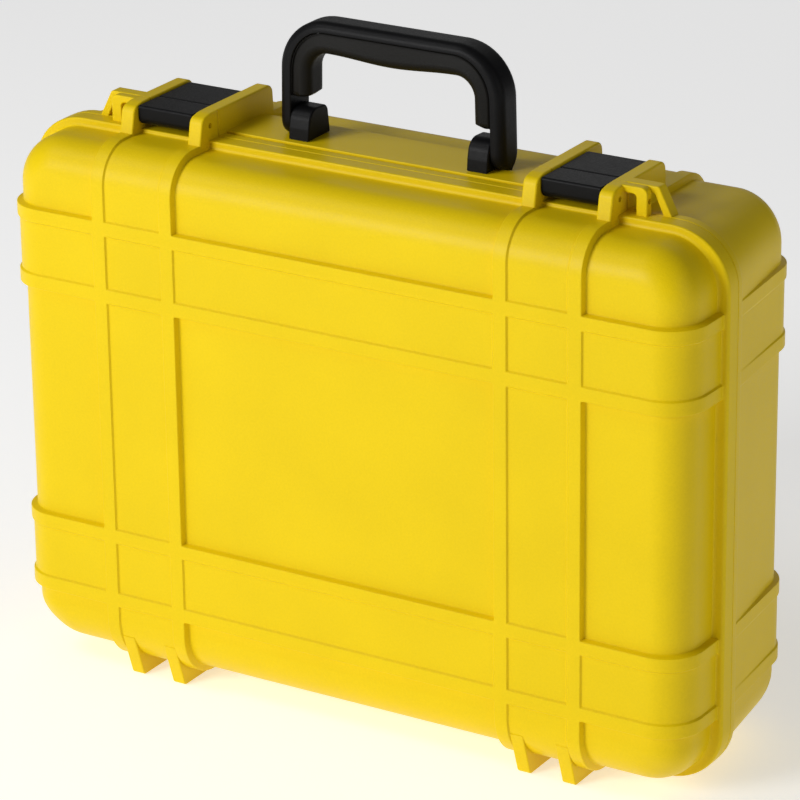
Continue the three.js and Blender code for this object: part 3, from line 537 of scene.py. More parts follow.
def shell_mesh(level, lid):
    """One half of the case as a closed shell: a profile carried round the rim, and two faces.

    The profile is a list of rows (inset w, depth from the face), each an array along the rim:
    the shoulder is a quarter circle, the side runs to the flange, the flange is stepped out with
    a rounded foot and edges, the rim carries the seal's groove or its bead, and the inside
    repeats side and shoulder at the wall's inset.
    """
    end = level.front_y if lid else level.back_y
    towards = 1.0 if lid else -1.0
    draft = level.lid_draft if lid else level.base_draft
    span = abs(PARTING_Y - end)
    rim = span - level.gap / 2
    flange = level.lid_flange if lid else level.base_flange
    step = span - flange
    xs, zs, points, normals = rim_outline(level)
    side = np.abs(normals[:, 0])
    low = smooth(-normals[:, 1])
    radius = level.shoulder + (level.heel - level.shoulder) * low
    reach = level.top_reach + (level.side_reach - level.top_reach) * side ** 2
    rows = []

    def add(w, depth, across=0.0, along=0.0):
        """A row: the recess moves it by across in the inset and by along in the depth."""
        full = np.ones_like(side)
        rows.append((w * full, depth * full, across * full, along * full))

    add(level.corner, 0.0, 0.0, 1.0)
    for angle in np.linspace(math.pi / 2, 0, ARC_STEPS + 1):
        add(
            radius * (1 - math.cos(angle)), radius * (1 - math.sin(angle)),
            math.cos(angle), math.sin(angle),
        )
    foot = 1.2 * MM
    for share in np.linspace(0, 1, 7)[1:]:
        add(0.0, radius + (step - foot - radius) * share, 1.0, 0.0)
    for angle in np.linspace(0, math.pi / 2, EDGE_STEPS + 1)[1:]:
        shrink = 1 - math.cos(angle)
        add(-reach * 0.35 * shrink, step - foot + foot * math.sin(angle), 1.0 - 0.55 * shrink, 0.0)
    edge = 0.5 * reach + 0.5 * MM
    for angle in np.linspace(0, math.pi / 2, EDGE_STEPS + 1):
        add(edge - reach - edge * math.sin(angle), step + edge - edge * math.cos(angle))
    crisp = 0.5 * MM
    for angle in np.linspace(0, math.pi / 2, EDGE_STEPS):
        add(crisp - reach - crisp * math.cos(angle), rim - crisp + crisp * math.sin(angle))
    land = level.inset
    if lid:
        outer, inner, drop = land - 4.2 * MM, land - 1.2 * MM, 4.6 * MM
        add(outer, rim)
        add(outer, rim - drop)
        add(inner, rim - drop)
        add(inner, rim)
    else:
        outer, inner, rise = land - 3.5 * MM, land - 1.9 * MM, 1.6 * MM
        add(outer, rim)
        add(outer, rim + rise * 0.7)
        add(outer + 0.3 * MM, rim + rise)
        add(inner - 0.3 * MM, rim + rise)
        add(inner, rim + rise * 0.7)
        add(inner, rim)
    for angle in np.linspace(0, math.pi / 2, EDGE_STEPS):
        add(land - crisp + crisp * math.sin(angle), rim - crisp + crisp * math.cos(angle))
    for share in np.linspace(0, 1, 4)[1:-1]:
        add(land, rim - crisp + (radius - rim + crisp) * share)
    inside = radius - land
    for angle in np.linspace(0, math.pi / 2, ARC_STEPS - 3):
        add(land + inside * (1 - math.cos(angle)), land + inside * (1 - math.sin(angle)))
    add(level.corner, land)

    w, depth, across, along = (np.stack(values) for values in zip(*rows))
    flat = points[None] + normals[None] * (level.corner - w)[..., None]
    x, z = flat[..., 0], flat[..., 1] + level.mid_z
    sunk = recess(x, z, level)
    if not lid:
        back = np.clip((span - depth) / span, 0, 1)
        sunk = sunk * (1 - side * (1 - back))
    flat = flat - normals[None] * (sunk * across)[..., None]
    y = end + towards * (depth + sunk * along)
    x, z = flat[..., 0], flat[..., 1] + level.mid_z
    ring = np.stack([leaned(x, y, draft, level), y, z], axis=-1)
    ring_faces = grid_faces(len(rows), len(points), closed=True)

    gx, gz = np.meshgrid(xs, zs + level.mid_z)
    outer_y = end + towards * recess(gx, gz, level)
    inner_y = np.full_like(gx, end + towards * land)
    faces = grid_faces(*gx.shape)
    parts = [(ring, ring_faces)]
    for y in (outer_y, inner_y):
        parts.append((np.stack([leaned(gx, y, draft, level), y, gz], axis=-1), faces))
    return mesh_of("shell", parts, weld=2e-6)


def ear_spans(side, level):
    """The two X spans of a latch's ears, inner first."""
    inner = (side * level.rib_x, side * level.ear_x)
    outer = (side * level.rib_x2, side * (level.rib_x2 + level.rib_width))
    return inner, outer


def fin_spans(side, level, width=9.4 * MM):
    """The two X spans of a hinge's fins, which stand against the ears' inner planes."""
    return (
        (side * level.ear_x, side * (level.ear_x + width)),
        (side * (level.rib_x2 - width), side * level.rib_x2),
    )


def knuckle_span(side, level, clear=10 * MM):
    """The X span of the base's knuckle between the two fins."""
    return side * (level.ear_x + clear), side * (level.rib_x2 - clear)


def lid_ear(span, level):
    """The lid's half of a latch ear: a steep nose, rounded into a level top."""
    rear = PARTING_Y - level.gap / 2
    front = PARTING_Y - 20.4 * MM
    low = level.flange_z - level.wall
    points = outline([
        (rear, low, 0), (rear, level.ear_z, 0), (front + 11 * MM, level.ear_z - 0.2 * MM, 20 * MM),
        (front + 2.4 * MM, level.ear_z - 2.2 * MM, 5.5 * MM), (front - 1.5 * MM, low, 0),
    ])
    return slab(points, *span, EAR_EDGE)


def base_ear(span, rear, level):
    """The base's half of a latch ear, level with a rounded rear end."""
    front = PARTING_Y + level.gap / 2
    low = level.flange_z - level.wall
    points = outline([
        (front, low, 0), (front, level.ear_z, 0), (PARTING_Y + rear, level.ear_z, 6 * MM),
        (PARTING_Y + rear + 1.5 * MM, low, 0),
    ])
    return slab(points, *span, EAR_EDGE)


def loop_points(side, level, top_reach, foot_reach, leg, slope, outer, inner):
    """The X-Z outline of a padlock loop's bar and leg outside the outer ear.

    The bar meets the leg in a bend with an outer and an inner radius.
    """
    start = level.rib_x2 + level.rib_width
    foot, bar = level.flange_z - 3 * MM, level.ear_z - 4.6 * MM
    corners = [
        (start - 1.5 * MM, level.ear_z, 0), (start + top_reach, level.ear_z, outer),
        (start + foot_reach, foot, 0), (start + foot_reach - leg, foot, 0),
        (start + top_reach - slope, bar, inner), (start - 1.5 * MM, bar, 0),
    ]
    return outline([(side * x, z, radius) for x, z, radius in corners])


def prow(face_y, towards):
    """The lower outline of a fin or foot at a face: from the shoulder down to the floor."""
    return [
        (face_y + towards * 2.9 * MM, 30 * MM, 0),
        (face_y + towards * 8.0 * MM, 14.5 * MM, 24 * MM),
        (face_y + towards * 12.8 * MM, 0.0, 3 * MM),
    ]


def wall_line(face_y, towards, level):
    """The upper outline of a fin or foot, buried in the middle of the shell's wall."""
    deep = level.panel + level.wall / 2
    floor = level.mid_z - level.half_z + deep
    return [
        (face_y + towards * deep, floor, level.heel - deep), (face_y + towards * deep, 33 * MM, 0),
    ]


def lid_fin(span, level):
    """A hinge fin: a prow in front, level underneath, and a round end about the hinge."""
    round_end = HINGE_Z - 0.01 * MM
    floor = wall_line(level.front_y, 1, level)[0][1]
    points = outline(prow(level.front_y, 1) + [
        (PARTING_Y + HINGE_Z, 0.0, round_end), (PARTING_Y + HINGE_Z, 2 * HINGE_Z, round_end),
        (PARTING_Y - 2.5 * MM, 2 * HINGE_Z, 0), (PARTING_Y - 2.5 * MM, floor, 0),
    ] + wall_line(level.front_y, 1, level), steps=ROUND_STEPS)
    return slab(points, *span, FIN_EDGE)


def base_foot(span, level):
    """A foot behind the hinge, level underneath, with a prow up the rear shoulder."""
    floor = wall_line(level.back_y, -1, level)[0][1]
    points = outline(prow(level.back_y, -1) + [
        (PARTING_Y + 12 * MM, 0.0, 1.5 * MM), (PARTING_Y + 8 * MM, 4 * MM, 1.5 * MM),
        (PARTING_Y + 10 * MM, floor, 0),
    ] + wall_line(level.back_y, -1, level), steps=ROUND_STEPS)
    return slab(points, *span, FIN_EDGE)


def base_knuckle(span, level, radius=4 * MM):
    """The base's knuckle, round about the hinge, with a web back to the wall."""
    floor = wall_line(level.back_y, -1, level)[0][1]
    low, high = HINGE_Z - radius, HINGE_Z + radius
    round_end = radius - 0.01 * MM
    points = outline([
        (PARTING_Y - radius, low, round_end), (PARTING_Y + 16 * MM, low, 2 * MM),
        (PARTING_Y + 16 * MM, floor, 0), (PARTING_Y + level.gap / 2, floor, 0),
        (PARTING_Y + level.gap / 2, high, 0), (PARTING_Y - radius, high, round_end),
    ], steps=ROUND_STEPS)
    return slab(points, *span, 0.5 * MM)


def platform(level):
    """The raised platform under the handle."""
    front = PARTING_Y + 8.9 * MM
    reach = level.rib_x + 1 * MM
    top = level.flange_z + 0.9 * MM
    points = outline([
        (front, top - 7 * MM, 0), (front, top, 0.6 * MM),
        (front + 43 * MM, top, 2 * MM), (front + 43 * MM, top - 7 * MM, 0),
    ])
    return slab(points, -reach, reach, 0.4 * MM)


def keeper(side, level):
    """The low bar between the base's ears that the lever's nose closes over."""
    rear = JOINT[f"lever_pivot_{'left' if side < 0 else 'right'}"]["pos_m"][1] + 7.7 * MM
    top = level.flange_z + 2.6 * MM
    points = outline([
        (rear - 3.5 * MM, level.flange_z - 3 * MM, 0), (rear - 3.5 * MM, top, 1 * MM),
        (rear, top, 1 * MM), (rear, level.flange_z - 3 * MM, 0),
    ])
    return slab(points, side * (level.ear_x - 1 * MM), side * (level.rib_x2 + 1 * MM), 0.1 * MM)


def tray_posts(level, size=26 * MM):
    """Four posts on the base's back wall that carry the tray."""
    low, high = node_box("tool_tray")
    front = high[1] + 0.3 * MM
    posts = []
    for x in (low[0] + POST_INSET, high[0] - POST_INSET - size):
        for z in (low[2] + POST_INSET, high[2] - POST_INSET - size):
            points = outline([
                (x, z, 3 * MM), (x + size, z, 3 * MM),
                (x + size, z + size, 3 * MM), (x, z + size, 3 * MM),
            ])
            posts.append(slab(points, front, level.back_y - level.panel - level.wall / 2, 1 * MM, "Y"))
    return posts


def hinge_bores(side):
    """Room for a hinge pin through fins and knuckle."""
    low, high = node_box(f"hinge_pin_{'left' if side < 0 else 'right'}")
    radius = (high[2] - low[2]) / 2 + 0.2 * MM
    return rod(low[0] - PIN_ROOM, high[0] + PIN_ROOM, (PARTING_Y, HINGE_Z), radius)


def loop_hole(side, level, y, reach):
    """A small hole through a padlock loop's leg."""
    start = level.rib_x2 + level.rib_width + 6 * MM
    height = level.flange_z + level.ear_height / 2
    return rod(side * start, side * (start + reach), (y, height), 1.8 * MM)


class CASE_OT_lid(bpy.types.Operator):
    """Builds the ribbed lid with its latch ears, padlock loops and hinge fins"""

    bl_idname = "case.lid"
    bl_label = "Lid shell"

    def execute(self, context):
        level = levels()
        knuckles = [
            rod(*(x + math.copysign(0.6 * MM, x - sum(span) / 2) for x in span),
                (PARTING_Y, HINGE_Z), 4.6 * MM)
            for span in (knuckle_span(side, level) for _, side in SIDES)
        ]
        body = combine(shell_mesh(level, True), knuckles, "DIFFERENCE")
        added, bores = [], []
        rear = PARTING_Y - level.gap / 2
        for name, side in SIDES:
            added += [lid_ear(span, level) for span in ear_spans(side, level)]
            added += [lid_fin(span, level) for span in fin_spans(side, level)]
            points = loop_points(
                side, level, 16.2 * MM, 16.2 * MM, 7.4 * MM, 7.4 * MM, 4.5 * MM, 2.5 * MM,
            )
            added.append(slab(points, rear - 6 * MM, rear, 0.9 * MM, "Y"))
            low, high = node_box(f"latch_pin_{name}")
            radius = (high[2] - low[2]) / 2
            bores.append(rod(
                low[0] - LATCH_BORE_REACH, high[0] + LATCH_BORE_REACH, (low + high)[1:] / 2,
                radius + PIN_ROOM,
            ))
            bores += [hinge_bores(side), loop_hole(side, level, PARTING_Y - 3 * MM, 16 * MM)]
        body = combine(combine(body, added, "UNION"), bores, "DIFFERENCE")
        finish("lid_shell_moulding", body, material_for("yellow_shell"), "lid",
               ["lid_shell"])
        return {"FINISHED"}


class CASE_OT_base(bpy.types.Operator):
    """Builds the ribbed base with its ears, loops, feet, hinge knuckles and platform"""

    bl_idname = "case.base"
    bl_label = "Base shell"

    def execute(self, context):
        level = levels()
        reliefs = [
            rod(*(x + math.copysign(0.6 * MM, x - sum(span) / 2) for x in span),
                (PARTING_Y, HINGE_Z), HINGE_Z + 0.6 * MM)
            for _, side in SIDES for span in fin_spans(side, level)
        ]
        body = combine(shell_mesh(level, False), reliefs, "DIFFERENCE")
        added, bores = [platform(level)] + tray_posts(level), []
        front = PARTING_Y + level.gap / 2
        for name, side in SIDES:
            inner, outer = ear_spans(side, level)
            added += [base_ear(inner, 62.6 * MM, level), base_ear(outer, 48 * MM, level)]
            added += [base_foot(span, level) for span in fin_spans(side, level)]
            added += [base_knuckle(knuckle_span(side, level), level), keeper(side, level)]
            points = loop_points(
                side, level, 20.6 * MM, 31 * MM, 6 * MM, 3 * MM, 2.4 * MM, 2 * MM,
            )
            added.append(slab(points, front, front + 9 * MM, 0.9 * MM, "Y"))
            bores.append(hinge_bores(side))
            for place in ("front", "rear"):
                low, high = node_box(f"bracket_screw_{name}_{place}")
                bores.append(rod(low[2] + 2.5 * MM, high[2] + MM, (low + high)[:2] / 2, 2.3 * MM, "Z"))
        body = combine(combine(body, added, "UNION"), bores, "DIFFERENCE")
        finish("base_shell_moulding", body, material_for("yellow_shell"), "base",
               ["base_shell"])
        return {"FINISHED"}


class CASE_OT_seal(bpy.types.Operator):
    """Builds the rubber seal, a round-topped cord in the lid's groove"""

    bl_idname = "case.seal"
    bl_label = "Rim seal"

    def execute(self, context):
        level = levels()
        _, _, points, normals = rim_outline(level)
        low, high = node_box("lid_seal")
        middle = level.inset - 2.7 * MM
        half = 1.2 * MM
        height = high[1] - low[1]
        angle = np.linspace(0, math.pi, 9)
        w = middle + half * np.concatenate([[-0.8, -1.0], -np.cos(angle), [1.0, 0.8]])
        y = low[1] + np.concatenate([
            [0.0, 0.3 * MM], height - half + half * np.sin(angle), [0.3 * MM, 0.0],
        ])
        flat = points[None] + normals[None] * (level.corner - w)[:, None, None]
        y = np.broadcast_to(y[:, None], flat.shape[:2])
        ring = np.stack([flat[..., 0], y, flat[..., 1] + level.mid_z], axis=-1)
        closed = np.concatenate([ring, ring[:1]])
        mesh = mesh_of("seal", [(closed, grid_faces(len(closed), len(points), closed=True))])
        finish("rim_seal_cord", mesh, material_for("seal_rubber"), "lid", ["lid_seal"], 60)
        return {"FINISHED"}


# ---- latches --------------------------------------------------------------------------------


class CASE_OT_latches(bpy.types.Operator):
    """Builds each latch's link and lever with rounded edges"""

    bl_idname = "case.latches"
    bl_label = "Latches"

    def execute(self, context):
        for name, _ in SIDES:
            self.link(name)
            self.lever(name)
        return {"FINISHED"}

    def link(self, name):
        """The link: a block with a round nose, a thin floor and two posts for the lever's pin."""
        low, high = node_box(f"latch_link_{name}")
        pivot_y, pivot_z = JOINT[f"lever_pivot_{name}"]["pos_m"][1:]
        pin_y, pin_z = JOINT[f"latch_pivot_{name}"]["pos_m"][1:]
        floor = low[2] + 2.4 * MM
        block = slab(outline([
            (low[1], high[2], 1.6 * MM), (pivot_y - 5.4 * MM, high[2], 0.8 * MM),
            (pivot_y - 7.4 * MM, pivot_z, 6 * MM), (pivot_y - 5.6 * MM, floor, 1 * MM),
            (high[1], floor, 0.8 * MM), (high[1], low[2], 0.8 * MM), (low[1], low[2], 5 * MM),
        ]), low[0], high[0], PIECE_EDGE)
        post = outline([
            (pivot_y - 3.5 * MM, low[2] + MM, 0), (pivot_y - 3.5 * MM, pivot_z + 3.5 * MM, 3.4 * MM),
            (pivot_y + 3.3 * MM, pivot_z + 3.5 * MM, 3.3 * MM), (pivot_y + 3.3 * MM, low[2] + MM, 0),
        ])
        width = (high[0] - low[0]) / 2 - 12 * MM
        posts = [
            slab(post, low[0] + 0.1 * MM, low[0] + width, 0.3 * MM),
            slab(post, high[0] - width, high[0] - 0.1 * MM, 0.3 * MM),
        ]
        bores = [
            rod(low[0] - MM, high[0] + MM, centre, LATCH_BORE)
            for centre in ((pivot_y, pivot_z), (pin_y, pin_z))
        ]
        mesh = combine(combine(block, posts, "UNION"), bores, "DIFFERENCE")
        finish(f"latch_link_{name}_moulding", mesh, material_for("black_plastic"),
               f"latch_{name}", [f"latch_link_{name}"])

    def lever(self, name):
        """The lever: a plate with a finger edge, a middle knuckle, and a nose underneath."""
        low, high = node_box(f"latch_lever_{name}")
        pivot_y, pivot_z = JOINT[f"lever_pivot_{name}"]["pos_m"][1:]
        top, bottom = high[2], high[2] - 6.2 * MM
        step = pivot_y + 4.6 * MM
        plate = slab(outline([
            (low[1], top, 0.9 * MM), (low[1], top - 2.4 * MM, 0.8 * MM),
            (step, top - 2.4 * MM, 0.4 * MM), (step, bottom, 0.8 * MM),
            (high[1] - 2.5 * MM, bottom, 2 * MM), (high[1], bottom + 2.8 * MM, 2 * MM),
            (high[1], top, 1.6 * MM),
        ]), low[0], high[0], PIECE_EDGE)
        nose = slab(outline([
            (pivot_y + 8.5 * MM, top - 3 * MM, 0), (pivot_y + 13.5 * MM, top - 3 * MM, 0),
            (pivot_y + 13.5 * MM, low[2], 1.2 * MM), (pivot_y + 8.5 * MM, low[2], 1.2 * MM),
        ]), low[0] + 4 * MM, high[0] - 4 * MM, 0.6 * MM)
        middle = (low[0] + high[0]) / 2
        half = 11.65 * MM
        knuckle = slab(outline([
            (pivot_y - 3.6 * MM, pivot_z - 3.6 * MM, 3.5 * MM),
            (pivot_y + 3.6 * MM, pivot_z - 3.6 * MM, 3.5 * MM),
            (pivot_y + 6 * MM, top - 1 * MM, 0), (pivot_y - 3.6 * MM, top - 1 * MM, 0),
        ]), middle - half, middle + half, 0.3 * MM)
        mesh = combine(plate, [nose, knuckle], "UNION")
        rooms = [
            rod(low[0] - MM, middle - half, (pivot_y, pivot_z), LEVER_ROOM),
            rod(middle + half, high[0] + MM, (pivot_y, pivot_z), LEVER_ROOM),
            rod(low[0] - MM, high[0] + MM, (pivot_y, pivot_z), LATCH_BORE),
        ]
        finish(f"latch_lever_{name}_moulding", combine(mesh, rooms, "DIFFERENCE"),
               material_for("black_plastic"), f"lever_{name}",
               [f"latch_lever_{name}"])


# ---- handle ---------------------------------------------------------------------------------


def arch_path(half, top, foot, corner, lean, steps=16):
    """The handle's outer line in X-Z with outward normals, foot to foot.

    Two legs, two quarter circles and a bar; the legs' rows lie denser at the feet, and the line
    leans inwards by lean from the foot to the top.
    """
    rise = foot + (top - corner - foot) * np.linspace(0, 1, 30) ** 1.6
    turn = np.linspace(math.pi, math.pi / 2, steps + 1)[1:]
    left = np.stack([np.full_like(rise, -half), rise], axis=-1)
    left_out = np.broadcast_to([-1.0, 0.0], left.shape)
    bend_out = np.stack([np.cos(turn), np.sin(turn)], axis=-1)
    bend = np.array([corner - half, top - corner]) + corner * bend_out
    bar_x = np.linspace(corner - half, 0, 20)[1:]
    bar = np.stack([bar_x, np.full_like(bar_x, top)], axis=-1)
    bar_out = np.broadcast_to([0.0, 1.0], bar.shape)
    points = np.concatenate([left, bend, bar])
    points[:, 0] += lean * (points[:, 1] - foot) / (top - foot) * np.minimum(1, -points[:, 0] / corner)
    outward = np.concatenate([left_out, bend_out, bar_out])
    mirror = np.array([-1.0, 1.0])
    return (
        np.concatenate([points, points[-2::-1] * mirror]),
        np.concatenate([outward, outward[-2::-1] * mirror]),
    )


def swept(points, outward, radial, across, middle_y):
    """Sections carried along a path: each has a distance inside the path and a Y for every point."""
    flat = points[:, None, :] - outward[:, None, :] * radial[..., None]
    body = np.stack([flat[..., 0], middle_y + across, flat[..., 1]], axis=-1)
    rows, count = radial.shape
    caps = [list(range(count)), list(range(count * (rows - 1), count * rows))]
    return mesh_of("swept", [(body, grid_faces(rows, count, closed=True).tolist() + caps)])


def along_path(points):
    """The distance run along a path up to each of its points."""
    step = np.linalg.norm(np.diff(points, axis=0), axis=1)
    return np.concatenate([[0], np.cumsum(step)])


def taken_at_ends(along, radius):
    """How much a rounding of a radius takes off the width at a path's two ends.

    At a distance d from an end it takes radius less the root of radius squared less (radius - d)
    squared, and nothing beyond the radius.
    """
    near = np.minimum(along, along[-1] - along)
    left = np.clip(1 - near / radius, 0, 1)
    return radius * (1 - np.sqrt(1 - left ** 2))


def crown(width, radius, points=27):
    """A section's face from -width to width: places across, and how far its rounded edges drop."""
    across = np.sin(np.linspace(-1, 1, points)[None, :] * math.pi / 2) * width
    bow = np.minimum(radius, width)
    edge = np.clip((np.abs(across) - (width - bow)) / bow, 0, 1)
    return across, bow * (1 - np.sqrt(1 - edge ** 2))


class CASE_OT_handle(bpy.types.Operator):
    """Builds the arched handle frame and the soft grip inside it"""

    bl_idname = "case.handle"
    bl_label = "Handle"

    def execute(self, context):
        low, high = node_box("handle_frame")
        grip_low, grip_high = node_box("handle_grip")
        middle_y = (low[1] + high[1]) / 2
        half_y = (high[1] - low[1]) / 2
        seam = 0.3 * MM
        leg = high[0] - grip_high[0] - seam
        bar = high[2] - grip_high[2] - seam
        points, outward = arch_path(high[0], high[2], low[2], HANDLE_CORNER, HANDLE_LEAN)
        along = along_path(points)
        thick = (leg * outward[:, 0] ** 2 + bar * outward[:, 1] ** 2)[:, None]
        self.frame(points, outward, along, thick, middle_y, half_y, high)
        inside = np.minimum(along, along[-1] - along) >= grip_low[2] - low[2] - 1e-5
        self.grip(points[inside], outward[inside], thick[inside] + seam, middle_y, half_y)
        return {"FINISHED"}

    def frame(self, points, outward, along, thick, middle_y, half_y, high):
        """The strap: round outer edges, a flat inside, round feet and blind pin sockets."""
        width = half_y - taken_at_ends(along, HANDLE_FOOT_ROUND)[:, None]
        face, drop = crown(width, HANDLE_CROWN)
        rim = 0.5 * MM
        back = np.concatenate([width, width - rim, rim - width, -width], axis=1)
        radial = np.concatenate([
            np.minimum(drop, thick - 2 * rim), thick - rim, thick, thick, thick - rim,
        ], axis=1)
        across = np.concatenate([face, back], axis=1)
        sockets = [
            rod(
                side * (high[0] - 9.8 * MM), side * (high[0] - 2 * MM),
                JOINT["handle_fold"]["pos_m"][1:], 2.9 * MM,
            ) for _, side in SIDES
        ]
        mesh = combine(swept(points, outward, radial, across, middle_y), sockets, "DIFFERENCE")
        finish("handle_frame_moulding", mesh, material_for("black_plastic"), "handle",
               ["handle_frame"], 40)

    def grip(self, points, outward, inset, middle_y, half_y):
        """The grip: flush with the strap at a fine groove, round inside, fuller along the bar."""
        along = along_path(points)
        taken = taken_at_ends(along, 2.5 * MM)[:, None]
        leg, bar, swell = 12.3 * MM, 14.2 * MM, 2.4 * MM
        on_bar = outward[:, 1:] ** 2
        share = np.clip(np.abs(points[:, :1]) / (46 * MM), 0, 1)
        deep = leg + (bar - leg) * on_bar + swell * on_bar * (1 - smooth(share))
        width = half_y - taken
        face, drop = crown(width, GRIP_CROWN)
        groove_in = np.array([[1.2, 0.45, 0.0]]) * MM
        groove_out = np.array([[0.0, 0.35, 1.1]]) * MM
        flank = width - groove_in
        radial = inset + np.concatenate([
            0 * flank + groove_out[:, ::-1], (deep - taken - drop)[:, ::-1], 0 * flank + groove_out,
        ], axis=1)
        across = np.concatenate([flank[:, ::-1], face[:, ::-1], -flank], axis=1)
        mesh = swept(points, outward, radial, across, middle_y)
        finish("handle_grip_overmould", mesh, material_for("handle_grip"), "handle",
               ["handle_grip"], 45)


class CASE_OT_brackets(bpy.types.Operator):
    """Builds the two domed brackets that carry the handle"""

    bl_idname = "case.brackets"
    bl_label = "Handle brackets"

    def execute(self, context):
        pivot_y, pivot_z = JOINT["handle_fold"]["pos_m"][1:]
        for name, _ in SIDES:
            low, high = node_box(f"handle_bracket_{name}")
            points = outline([
                (low[1], low[2], 0), (high[1], low[2], 0),
                (high[1] - 2.6 * MM, high[2] - 0.9 * MM, 5.5 * MM),
                (low[1] + 3.4 * MM, high[2], 9.5 * MM),
                (low[1] + 0.6 * MM, pivot_z - 4 * MM, 8 * MM),
            ], steps=ROUND_STEPS)
            mesh = slab(points, low[0], high[0], 1.2 * MM)
            a, b = node_box(f"handle_pin_{name}")
            bores = [rod(a[0] - 0.3 * MM, b[0] + 0.3 * MM, (pivot_y, pivot_z), 2.85 * MM)]
            for place in ("front", "rear"):
                a, b = node_box(f"bracket_screw_{name}_{place}")
                bores.append(rod(low[2] - MM, b[2] + 0.3 * MM, (a + b)[:2] / 2, 2.3 * MM, "Z"))
            finish(f"handle_bracket_{name}_moulding", combine(mesh, bores, "DIFFERENCE"),
                   material_for("black_plastic"), "base",
                   [f"handle_bracket_{name}"])
        return {"FINISHED"}


# ---- pins and screws ------------------------------------------------------------------------


class CASE_OT_pins(bpy.types.Operator):
    """Turns the hinge, latch, lever and handle pins with chamfered ends"""

    bl_idname = "case.pins"
    bl_label = "Pins"

    def execute(self, context):
        for name, _ in SIDES:
            for kind, body in (
                ("hinge_pin", "base"), ("latch_pin", "lid"), ("lever_pin", f"latch_{name}"),
                ("handle_pin", "base"),
            ):
                node = f"{kind}_{name}"
                low, high = node_box(node)
                radius = (high[2] - low[2]) / 2
                bevel = 0.35 * MM
                mesh = turned([
                    (0, 0, radius - bevel), (0, 0.1 * MM, radius - 0.12 * MM), (0, bevel, radius),
                    (0.5, 0, radius), (1, -bevel, radius), (1, -0.1 * MM, radius - 0.12 * MM),
                    (1, 0, radius - bevel),
                ], low[0], high[0], (low + high)[1:] / 2)
                finish(f"{node}_turned", mesh, material_for("pin_steel"), body, [node])
        return {"FINISHED"}


class CASE_OT_screws(bpy.types.Operator):
    """Turns the bracket screws: pan head with a cross recess, thread rings and a point"""

    bl_idname = "case.screws"
    bl_label = "Bracket screws"

    def execute(self, context):
        for name, _ in SIDES:
            for place in ("front", "rear"):
                node = f"bracket_screw_{name}_{place}"
                low, high = node_box(node)
                centre = (low + high)[:2] / 2
                head, shank, deep = (high[0] - low[0]) / 2, 2 * MM, 2.8 * MM
                rows = [
                    (0, 0.0, head * 0.55), (0, 0.35 * MM, head * 0.82), (0, 1.0 * MM, head * 0.97),
                    (0, 1.6 * MM, head), (0, deep, head), (0, deep, shank * 0.82),
                ]
                turns = np.arange(deep + 0.8 * MM, high[2] - low[2] - 1.5 * MM, 1.2 * MM)
                for start in turns:
                    rows += [
                        (0, start, shank * 0.82), (0, start + 0.4 * MM, shank),
                        (0, start + 0.8 * MM, shank * 0.82),
                    ]
                rows += [(0, high[2] - low[2], shank * 0.35)]
                mesh = turned(rows, low[2], high[2], centre, "Z")
                arms = []
                for wide, slim in ((2.2 * MM, 0.55 * MM), (0.55 * MM, 2.2 * MM)):
                    points = outline([
                        (centre[0] - wide, centre[1] - slim, 0.2 * MM),
                        (centre[0] + wide, centre[1] - slim, 0.2 * MM),
                        (centre[0] + wide, centre[1] + slim, 0.2 * MM),
                        (centre[0] - wide, centre[1] + slim, 0.2 * MM),
                    ], steps=3)
                    arms.append(slab(points, low[2] - MM, low[2] + 1.6 * MM, 0.15 * MM, "Z"))
                finish(f"{node}_turned", combine(mesh, arms, "DIFFERENCE"),
                       material_for("pin_steel"), "base", [node])
        return {"FINISHED"}


# ---- tray -----------------------------------------------------------------------------------


def round_box(x, z, y, corner, edge):
    """A box with rounded uprights, given by its X, Z and Y spans."""
    points = outline([
        (x[0], z[0], corner), (x[1], z[0], corner), (x[1], z[1], corner), (x[0], z[1], corner),
    ], steps=ROUND_STEPS)
    return slab(points, y[0], y[1], edge, "Y")


class CASE_OT_tray(bpy.types.Operator):
    """Builds the lift-out tray with its pockets and guides, and the two dividers"""

    bl_idname = "case.tray"
    bl_label = "Tray"

    def execute(self, context):
        low, high = node_box("tool_tray")
        wall = TRAY_WALL
        middle = (low[2] + high[2]) / 2
        body = round_box(
            (low[0], high[0]), (low[2], high[2]), (low[1], high[1]), TRAY_CORNER, TRAY_EDGE,
        )
        spans = ((low[2] + wall, middle - wall / 2), (middle + wall / 2, high[2] - wall))
        pockets = [
            round_box(
                (low[0] + wall, high[0] - wall), span, (low[1] - 5 * MM, high[1] - wall),
                TRAY_CORNER - wall, 2.5 * MM,
            ) for span in spans
        ]
        body = combine(body, pockets, "DIFFERENCE")
        guides = []
        for name, _ in SIDES:
            a, b = node_box(f"tray_divider_{name}")
            for start in (a[0] - 3.3 * MM, b[0] + 0.3 * MM):
                for z in ((low[2] + wall / 2, low[2] + 7.2 * MM), (middle - 6 * MM, middle)):
                    guides.append(round_box(
                        (start, start + 3 * MM), z, (a[1], high[1] - wall / 2), 0.8 * MM, 0.6 * MM,
                    ))
            plate = round_box(
                (a[0], b[0]), (a[2], b[2]), (a[1], b[1]), 0.9 * MM, 0.6 * MM,
            )
            finish(f"tray_divider_{name}_moulding", plate, material_for("tray_plastic"), "tray",
                   [f"tray_divider_{name}"])
        finish("tool_tray_moulding", combine(body, guides, "UNION"), material_for("tray_plastic"),
               "tray", ["tool_tray"])
        return {"FINISHED"}


# ---- stage ----------------------------------------------------------------------------------


